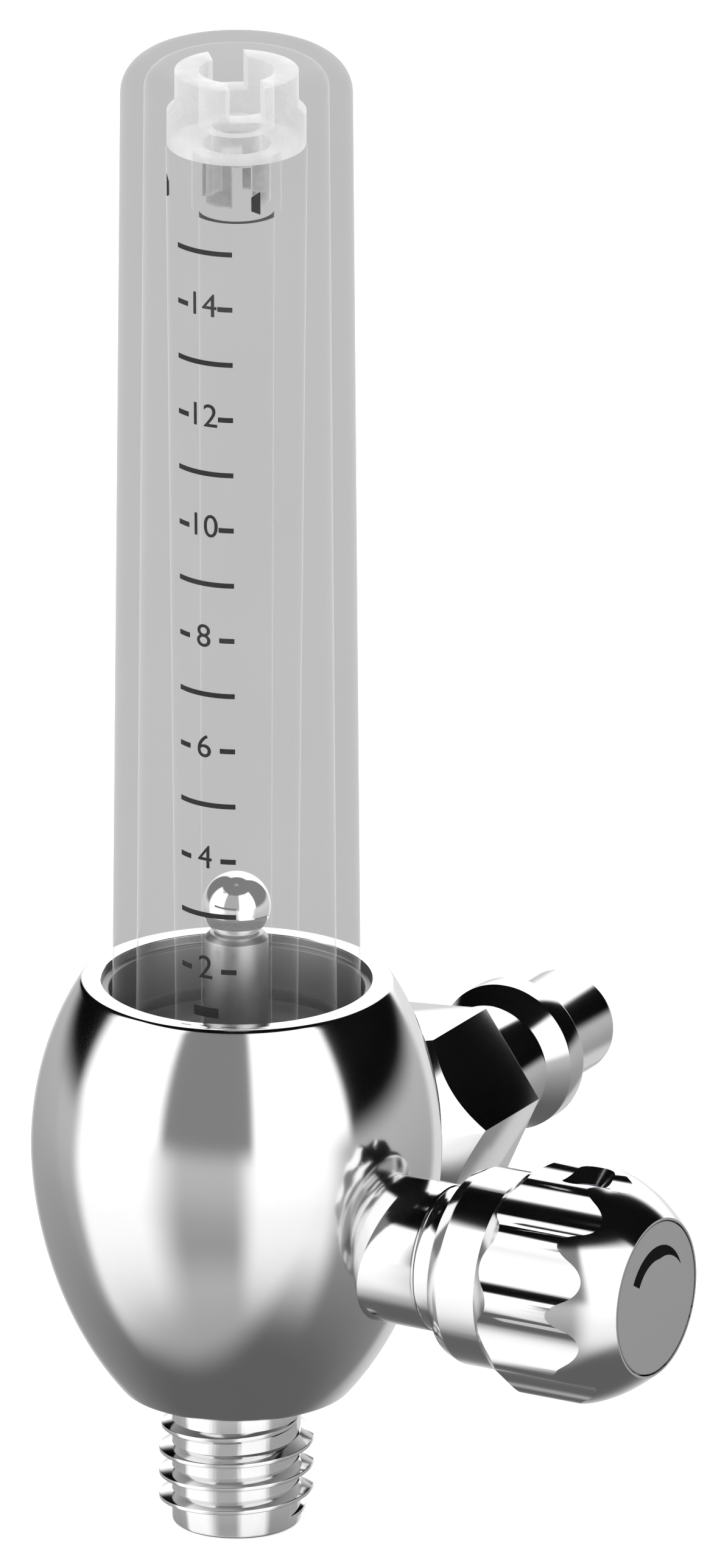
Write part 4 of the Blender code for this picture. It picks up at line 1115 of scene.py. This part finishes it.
@dataclass
class Knob:
    """The fluted knob with its set screw and its printed disc."""

    start: float = 25.1
    lip_radius: float = 8.8
    lip_end: float = 26.4
    skirt_radius: float = 9.3
    skirt_end: float = 30.3
    skirt_inner: tuple[float, float] = (8.0, 31.0)
    fluted_start: float = 29.6
    fluted_length: float = 16.0
    front_start: float = 29.5
    overlap: float = 0.02
    underlap: float = 0.01
    flare_end: float = 32.6
    radius: float = 11.0
    nose_start: float = 38.0
    end: float = 44.5
    front_radius: float = 7.55
    nose_power: float = 1.6
    nose_rings: int = 28
    cavity_radius: float = 5.8
    cavity_end: float = 32.0
    hub_bore: float = 2.3
    hub_end: float = 41.5
    recess_radius: float = 7.35
    recess_start: float = 43.4
    flute_count: int = 10
    flute_depth: float = 1.3
    crest_radius: float = 10.92
    flute_radius: float = 3.8
    flute_turn: float = math.radians(3.5)
    arc_steps: int = 12
    screw_station: float = 36.65
    screw_radius: float = 1.4
    screw_hole: float = 1.7
    screw_top: float = 9.0
    screw_foot: float = 2.9
    screw_tip: tuple[float, float] = (0.8, 2.3)
    screw_cup: float = 3.1
    sink_foot: float = 9.15
    disc_radius: float = 7.2
    disc_back: float = 43.7
    print_radius: float = 5.0
    print_ends: tuple[float, float] = (math.radians(149.0), math.radians(24.0))
    print_steps: int = 28
    print_width: float = 1.3
    print_taper: float = 2.2
    print_tail: float = 0.02
    print_sink: float = 0.01
    print_depth: float = 0.03

    def round_point(self, station: float, radius: float, angle: float) -> Vector:
        """A point round the spindle; the angle runs from +Z towards +Y."""
        return spot(station, radius * math.sin(angle), radius * math.cos(angle))

    def wave(self, station: float) -> list[Vector]:
        """The fluted outline: hollow arcs and round crests that meet along a shared tangent."""
        pitch = math.tau / self.flute_count
        hollow = self.radius - self.flute_depth + self.flute_radius
        span = self.flute_radius + self.crest_radius
        crest_centre = (hollow ** 2 - span ** 2) / (2 * hollow * math.cos(pitch / 2) - 2 * span)
        crest_round = self.crest_radius - crest_centre
        meet = math.atan2(crest_centre * math.sin(pitch / 2),
                          hollow - crest_centre * math.cos(pitch / 2))
        points = []
        for flute in range(self.flute_count):
            middle = self.flute_turn + flute * pitch
            for step in range(self.arc_steps * 2 + 1):
                swing = meet * (step / self.arc_steps - 1.0)
                across = self.flute_radius * math.sin(swing)
                out = hollow - self.flute_radius * math.cos(swing)
                points.append(self.round_point(station, math.hypot(across, out),
                                               middle + math.atan2(across, out)))
            crest = middle + pitch / 2
            open_half = meet + pitch / 2
            for step in range(1, self.arc_steps):
                swing = open_half * (2.0 * step / self.arc_steps - 1.0)
                across = crest_round * math.sin(swing)
                out = crest_centre + crest_round * math.cos(swing)
                points.append(self.round_point(station, math.hypot(across, out),
                                               crest + math.atan2(across, out)))
        return points

    def nose(self) -> list[Corner]:
        """The rounded front, from the label's recess back to the fluted part."""
        corners = []
        widest = self.radius + self.overlap
        for index in reversed(range(self.nose_rings + 1)):
            share = index / self.nose_rings
            drop = (widest - self.front_radius) * share ** self.nose_power
            corners.append((widest - drop,
                            self.nose_start + (self.end - self.nose_start) * share, 0.0))
        return corners

    def shell(self) -> bpy.types.Object:
        """The knob itself."""
        fluted = slab("fluted_knob", self.wave(self.fluted_start),
                      Vector((self.fluted_length * MM, 0.0, 0.0)))
        under_skirt = self.skirt_radius - self.underlap
        front = turned("knob_front", [
            (0.0, self.end, 0.0), *self.nose(),
            (self.radius + self.overlap, self.flare_end, 0.0),
            (under_skirt, self.skirt_end, 0.0), (under_skirt, self.front_start, 0.0),
            (0.0, self.front_start, 0.0)], Line.VALVE, 192)
        worked(fluted, Join.KEEP_COMMON, front)
        skirt = turned("knob_skirt", [
            (0.0, self.skirt_inner[1], 0.0), (*self.skirt_inner, 0.0),
            (self.skirt_radius, self.skirt_end + self.overlap, 0.0),
            (self.skirt_radius, self.lip_end, 0.3), (self.lip_radius, self.start, 0.25),
            (0.0, self.start, 0.0)], Line.VALVE, 192)
        worked(fluted, Join.ADD, skirt)
        cavity = turned("knob_cavity", [
            (0.0, self.start - 1.0, 0.0), (self.cavity_radius, self.start - 1.0, 0.0),
            (self.cavity_radius, self.cavity_end, 0.3), (self.hub_bore, self.cavity_end, 0.0),
            (self.hub_bore, self.hub_end, 0.0), (0.0, self.hub_end, 0.0)], Line.VALVE, 96)
        recess = bored("label_recess", Line.VALVE, self.recess_start,
                       [(self.recess_radius, self.end + 1.0)], 144)
        return worked(fluted, Join.CUT, cavity, recess, self.screw_bore())

    def screw_tool(self, name: str, corners: Sequence[Corner], steps: int
                   ) -> bpy.types.Object:
        """A piece turned about the tube's line, then set on the screw's line."""
        tool = turned(name, corners, Line.TUBE, steps)
        place = (Matrix.Translation(spot(self.screw_station, 0.0, 0.0))
                 @ Matrix.Rotation(-self.flute_turn, 4, "X") @ Matrix.Translation(-CROSSING))
        tool.matrix_world = place
        return settled(tool)

    def screw_bore(self) -> bpy.types.Object:
        """The set screw's hole with its countersink."""
        mouth = self.radius + 1.0
        return self.screw_tool("screw_hole", [
            (0.0, mouth, 0.0), (self.screw_hole + mouth - self.sink_foot, mouth, 0.0),
            (self.screw_hole, self.sink_foot, 0.0), (self.screw_hole, 0.0, 0.0),
            (0.0, 0.0, 0.0)], 64)

    def print_arc(self) -> bpy.types.Object:
        """The tapered arc that shows which way the flow grows."""
        start, end = self.print_ends
        outer, inner = [], []
        for step in range(self.print_steps + 1):
            share = step / self.print_steps
            angle = start + (end - start) * share
            width = self.print_width * min(
                1.0, (1.0 - share) * self.print_taper + self.print_tail)
            for radius, side in ((self.print_radius, outer), (self.print_radius - width, inner)):
                side.append(spot(self.end - self.print_sink, radius * math.cos(angle),
                                 radius * math.sin(angle)))
        return slab("print_arc", [*outer, *reversed(inner)],
                    Vector((self.print_depth * MM, 0.0, 0.0)))

    def build(self) -> None:
        """Make the knob, its screw, its disc and the arc on it, and finish them."""
        ship(self.shell(), CHROME, Body.KNOB, "chrome", "knob")
        screw = self.screw_tool("set_screw", [
            (0.0, self.screw_top, 0.0), (self.screw_radius, self.screw_top, 0.12),
            (self.screw_radius, self.screw_foot, 0.1), (*self.screw_tip, 0.0),
            (0.0, self.screw_cup, 0.0)], 64)
        ship(screw, BLUED, Body.KNOB, "blued_steel", "knob_set_screw")
        disc = turned("label_disc", [
            (0.0, self.end, 0.0), (self.disc_radius, self.end, 0.12),
            (self.disc_radius, self.disc_back, 0.1), (0.0, self.disc_back, 0.0)], Line.VALVE)
        ship(disc, LABEL, Body.KNOB, "label", "knob_disc")
        ship(self.print_arc(), INK, Body.KNOB, "label")


@dataclass
class InletLine:
    """The hexagon adaptor and the probe that plugs into the wall outlet."""

    shoulder: float = 19.9
    spigot_start: float = 9.3
    spigot_radius: float = 5.0
    groove_station: float = 14.45
    neck_radius: float = 6.6
    hex_start: float = 29.7
    hex_end: float = 39.7
    corner_radius: float = 9.7
    roll: float = math.radians(5.5)
    cone_angle: float = math.radians(40.0)
    edge: float = 0.1
    neck_end: float = 35.0
    socket_radius: float = 4.4
    socket_floor: float = 24.0
    gas_radius: float = 2.0
    probe_bore: float = 2.2
    tail_radius: float = 4.1
    tail_start: float = 29.7
    tail_groove: float = 34.7
    tail_end: float = 40.0
    collar_radius: float = 5.65
    collar_end: float = 48.0
    ring_radius: float = 7.0
    ring_start: float = 50.4
    ring_end: float = 52.9
    tip_radius: float = 4.95
    tip_end: float = 62.5

    def cone_station(self, radius: float) -> float:
        """Where the hexagon's front cone has a radius."""
        return self.hex_start - (self.corner_radius - radius) / math.tan(self.cone_angle)

    def adaptor(self) -> bpy.types.Object:
        """The hexagon, its round neck, its spigot and its bore."""
        start = self.cone_station(self.spigot_radius)
        hexagon = settled(fresh(
            "hexagon_adaptor", bpy.ops.mesh.primitive_cylinder_add, vertices=6,
            radius=self.corner_radius * MM, depth=(self.hex_end - start) * MM,
            location=spot(0.0, (self.hex_end + start) / 2, 0.0),
            rotation=(-math.pi / 2, math.pi / 6 - self.roll, 0.0)))
        outside, inside = self.corner_radius + 1.0, self.spigot_radius - 1.0
        worked(hexagon, Join.KEEP_COMMON, turned("hexagon_cone", [
            (0.0, self.hex_end + 1.0, 0.0), (outside, self.hex_end + 1.0, 0.0),
            (outside, self.cone_station(outside), 0.0),
            (inside, self.cone_station(inside), 0.0),
            (0.0, self.cone_station(inside), 0.0)], Line.INLET, 192))
        applied(hexagon, "BEVEL", width=self.edge * MM, segments=2, limit_method="ANGLE",
                angle_limit=math.radians(30.0))
        neck = turned("adaptor_neck", [
            (0.0, self.neck_end, 0.0), (self.neck_radius, self.neck_end, 0.0),
            (self.neck_radius, self.shoulder, 0.2), (self.spigot_radius, self.shoulder, 0.0),
            *groove(self.spigot_radius, self.groove_station),
            (self.spigot_radius, self.spigot_start, 0.2), (0.0, self.spigot_start, 0.0)],
            Line.INLET)
        worked(hexagon, Join.ADD, neck)
        return worked(hexagon, Join.CUT, bored(
            "adaptor_bore", Line.INLET, self.hex_end + 1.0,
            [(self.socket_radius, self.socket_floor), (self.gas_radius, self.spigot_start - 1.0)]))

    def probe(self) -> bpy.types.Object:
        """The probe: collar, flared ring and plain tip, with its bore."""
        return turned("wall_probe", [
            (self.probe_bore, self.tip_end, 0.15), (self.tip_radius, self.tip_end, 0.8),
            (self.tip_radius, self.ring_end, 0.1), (self.ring_radius, self.ring_end, 0.3),
            (self.ring_radius, self.ring_start, 0.3), (self.collar_radius, self.collar_end, 0.4),
            (self.collar_radius, self.tail_end, 0.2), (self.tail_radius, self.tail_end, 0.0),
            *groove(self.tail_radius, self.tail_groove),
            (self.tail_radius, self.tail_start, 0.15), (self.probe_bore, self.tail_start, 0.1)],
            Line.INLET)

    def build(self) -> None:
        """Make both pieces and finish them."""
        ship(self.adaptor(), CHROME, Body.HOUSING, "chrome", "inlet_adaptor")
        ship(self.probe(), CHROME, Body.HOUSING, "chrome", "inlet_probe")


@dataclass
class SealingRings:
    """The rubber rings, each squeezed a little square in its groove."""

    rings: tuple[tuple[str, Body, Line, float, float, float], ...] = (
        ("cover_o_ring", Body.HOUSING, Line.TUBE, 11.5, 18.2, 1.1),
        ("tube_o_ring", Body.HOUSING, Line.TUBE, 6.95, 10.8, 1.1),
        ("nipple_o_ring", Body.HOUSING, Line.TUBE, 5.0, -12.95, 1.1),
        ("bonnet_o_ring", Body.HOUSING, Line.VALVE, 4.2, 20.0, 1.1),
        ("spindle_o_ring", Body.CARRIAGE, Line.VALVE, 2.0, 27.3, 0.6),
        ("inlet_o_ring", Body.HOUSING, Line.INLET, 5.0, 14.45, 1.1),
        ("probe_o_ring", Body.HOUSING, Line.INLET, 4.1, 34.7, 1.1),
    )
    squeeze: float = 0.44

    def build(self) -> None:
        """Turn each ring and finish it in rubber."""
        for node, body, line, outer, station, section in self.rings:
            half, rounding = section / 2, section * self.squeeze
            ring = turned("squeezed_" + node, [
                (outer, station + half, rounding), (outer, station - half, rounding),
                (outer - section, station - half, rounding),
                (outer - section, station + half, rounding)], line, 96)
            ship(ring, RUBBER, body, "rubber", node)


def dress_carried_nodes() -> None:
    """Finish the CAD nodes whose own shape stays: all three lie inside the instrument."""
    for node, finish in (("spindle", SPINDLE_STEEL), ("valve_seat", NYLON),
                         ("inlet_filter", BRONZE)):
        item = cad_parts[node]
        item.data.materials.clear()
        item.data.materials.append(finish.material())


@dataclass(frozen=True)
class Sector:
    """A part of the studio's horizon: where it starts and ends, how softly, in degrees."""

    start: float
    end: float
    start_soft: float
    end_soft: float

    def share(self, bearing: Signal) -> Signal:
        """1 inside the sector, 0 outside it, with soft sides."""
        opened = bearing.ramp(self.start - self.start_soft, self.start + self.start_soft)
        return opened * (1.0 - bearing.ramp(self.end - self.end_soft, self.end + self.end_soft))


@dataclass
class Studio:
    """Camera, floor and light: white cards round the object, dark gaps between them."""

    azimuth: float = math.radians(29.5)
    elevation: float = math.radians(19.8)
    millimetres_a_pixel: float = 0.0562
    image: tuple[int, int] = (1189, 2576)
    anchor_pixel: tuple[float, float] = (388.5, 1607.0)
    anchor: Vector = field(default_factory=lambda: spot(0.0, 0.0, 23.5))
    camera_distance: float = 1.0
    floor_height: float = -29.5
    floor_size: float = 6.0
    floor_glow: float = 0.60
    paper_dark: Colour = (0.80, 0.80, 0.80)
    paper_light: Colour = (0.84, 0.84, 0.84)
    paper_roughness: float = 0.9
    paper_specular: float = 0.1
    fibre: float = 1.5
    lamp_power: float = 1.2
    lamp_size: float = 0.8
    lamp_place: Corner = (-350.0, -500.0, 750.0)
    cards: tuple[Sector, ...] = (Sector(-164.5, -104.5, 6.0, 4.0), Sector(-51.0, 7.5, 3.0, 3.0),
                                 Sector(84.0, 137.0, 3.0, 4.0))
    card_level: float = 1.35
    card_top: float = 50.0
    card_top_soft: tuple[float, float] = (0.03, 0.05)
    grey_gap: Sector = Sector(-104.5, -51.0, 4.0, 3.0)
    grey_level: float = 0.245
    floor_stops: tuple[tuple[float, float], ...] = (
        (0.0, 0.127), (0.10, 0.130), (0.157, 0.148), (0.263, 0.204), (0.463, 0.305),
        (0.617, 0.372), (0.784, 0.472), (0.869, 0.498), (1.0, 0.50))
    pools: tuple[tuple[Sector, float], ...] = (
        (Sector(-161.0, -104.0, 6.0, 15.0), 0.76), (Sector(-55.0, -2.0, 8.0, 9.0), 0.69),
        (Sector(84.0, 132.0, 6.0, 8.0), 0.34))
    pool_reach: tuple[float, float] = (-0.87, -0.49)
    glow_bearing: float = -97.0
    glow_edge: tuple[float, float] = (0.27, 0.60)
    glow_fade: tuple[float, float] = (-0.72, -0.50)
    glow_loss: float = 0.85
    glow_level: float = 0.27
    horizon: tuple[float, float] = (-0.0965, 0.088)
    plain_level: float = 0.9
    through_glass: float = 0.50

    @staticmethod
    def aimed(name: str, data: bpy.types.ID, place: Vector, look: Vector) -> bpy.types.Object:
        """Stand a camera or a lamp at a place, looking in a direction."""
        item = bpy.data.objects.new(name, data)
        bpy.context.scene.collection.objects.link(item)
        item.location = place
        item.rotation_mode = "QUATERNION"
        item.rotation_quaternion = look.to_track_quat("-Z", "Y")
        return item

    @staticmethod
    def rays(nodes: NodeBench) -> tuple[Signal, Signal, Signal]:
        """1 for the camera's rays, for mirrored rays, and behind a clear wall."""
        path = nodes.add("ShaderNodeLightPath").outputs
        return (Signal(nodes, path["Is Camera Ray"]), Signal(nodes, path["Is Glossy Ray"]),
                Signal(nodes, path["Transparent Depth"]).under(1.0))

    def camera(self) -> None:
        """Aim a parallel-projection camera as the photograph was taken."""
        across = Vector((math.cos(self.azimuth), math.sin(self.azimuth), 0.0))
        look = Vector((-math.sin(self.azimuth) * math.cos(self.elevation),
                       math.cos(self.azimuth) * math.cos(self.elevation),
                       -math.sin(self.elevation)))
        up = across.cross(look)
        step = self.millimetres_a_pixel * MM
        right = (self.image[0] / 2 - self.anchor_pixel[0]) * step
        above = (self.anchor_pixel[1] - self.image[1] / 2) * step
        data = bpy.data.cameras.new("photo_camera")
        data.type = "ORTHO"
        data.ortho_scale = self.image[1] * step
        data.clip_end = 20.0
        place = self.anchor + across * right + up * above - look * self.camera_distance
        bpy.context.scene.camera = self.aimed("photo_camera", data, place, look)

    def surroundings(self, nodes: NodeBench) -> Signal:
        """How bright the studio is in each direction, as polished metal shows it."""
        direction = nodes.add("ShaderNodeTexCoord").outputs["Generated"]
        x, y, z = nodes.split(direction)
        bearing = y.angle_from(x)
        upper: Term = self.grey_gap.share(bearing) * self.grey_level
        for card in self.cards:
            upper = upper + card.share(bearing) * self.card_level
        top = math.sin(math.radians(self.card_top))
        below, beyond = self.card_top_soft
        upper = upper * (1.0 - z.ramp(top - below, top + beyond))
        floor = nodes.add("ShaderNodeValToRGB", {"stops": self.floor_stops}, {"Fac": z + 1.0})
        lower = Signal(nodes, floor.outputs["Color"])
        reach = z.ramp(*self.pool_reach)
        for pool, level in self.pools:
            lower = lower + pool.share(bearing) * reach * level
        turn = math.radians(self.glow_bearing)
        across = (x * math.cos(turn) + y * math.sin(turn)) / (z.size() + 1.0e-3)
        fading = 1.0 - z.ramp(*self.glow_fade) * self.glow_loss
        lower = lower + across.ramp(*self.glow_edge) * fading * self.glow_level
        above = z.ramp(*self.horizon)
        return upper * above + lower * (1.0 - above)

    def world(self) -> None:
        """The studio as a world: cards in the metal, plain light, white behind."""
        world = bpy.data.worlds.new("studio")
        bpy.context.scene.world = world
        world.use_nodes = True
        nodes = NodeBench(world.node_tree)
        world.node_tree.nodes.clear()
        camera, glossy, behind_wall = self.rays(nodes)
        seen = 1.0 - behind_wall * (1.0 - self.through_glass)
        strength = (camera * seen + glossy * (1.0 - camera) * self.surroundings(nodes)
                    + (1.0 - camera) * (1.0 - glossy) * self.plain_level)
        background = nodes.add("ShaderNodeBackground", {}, {
            "Color": (1.0, 1.0, 1.0, 1.0), "Strength": strength})
        output = nodes.add("ShaderNodeOutputWorld")
        nodes.tree.links.new(background.outputs[0], output.inputs["Surface"])

    def floor(self) -> None:
        """A pale floor that the camera sees as white, apart from the object's shadow."""
        floor = settled(fresh("studio_floor", bpy.ops.mesh.primitive_plane_add,
                              size=self.floor_size,
                              location=spot(0.0, 0.0, self.floor_height)))
        floor.visible_glossy = False
        made = bpy.data.materials.new("floor_paper")
        made.use_nodes = True
        nodes = NodeBench(made.node_tree)
        shader = made.node_tree.nodes["Principled BSDF"]
        shader.inputs["Roughness"].default_value = self.paper_roughness
        shader.inputs["Specular IOR Level"].default_value = self.paper_specular
        fibres = nodes.noise(self.fibre, 3.0).ramp(0.3, 0.7)
        nodes.tree.links.new(nodes.tint(self.paper_dark, self.paper_light, fibres),
                             shader.inputs["Base Color"])
        camera, _, behind_wall = self.rays(nodes)
        glow = nodes.add("ShaderNodeEmission", {}, {"Strength": camera * self.floor_glow})
        lit = nodes.add("ShaderNodeAddShader", {}, {0: shader.outputs[0], 1: glow.outputs[0]})
        veil = nodes.add("ShaderNodeEmission", {}, {"Strength": self.through_glass})
        both = nodes.add("ShaderNodeMixShader", {}, {
            0: camera * behind_wall, 1: lit.outputs[0], 2: veil.outputs[0]})
        output = made.node_tree.nodes["Material Output"]
        nodes.tree.links.new(both.outputs[0], output.inputs["Surface"])
        floor.data.materials.append(made)

    def lamp(self) -> None:
        """One large soft lamp from the upper left, for the floor's shadow."""
        data = bpy.data.lights.new("soft_lamp", "AREA")
        data.shape = "DISK"
        data.size = self.lamp_size
        data.energy = self.lamp_power
        place = spot(*self.lamp_place)
        self.aimed("soft_lamp", data, place, CROSSING - place).visible_glossy = False

    def build(self) -> None:
        """Set everything up around the object."""
        bpy.context.scene.view_settings.view_transform = "Standard"
        self.camera()
        self.world()
        self.floor()
        self.lamp()


def build_and_report(pieces: Iterable[Any]) -> None:
    """Build each sub-assembly in turn and report it."""
    for piece in pieces:
        piece.build()
        log.info("built %s", type(piece).__name__)


def main() -> None:
    """Build the whole scene round the frame."""
    logging.basicConfig(level=logging.INFO, format="%(name)s: %(message)s")
    build_and_report([EggBody(), Cover(), FlowTube(), SeatAndBall(), SlottedCap(),
                      OutletNipple(), Bonnet(), Knob(), InletLine(), SealingRings()])
    dress_carried_nodes()
    log.info("dressed the CAD nodes that stay")
    Studio().build()
    log.info("set up the studio")


if __name__ == "__main__":
    main()
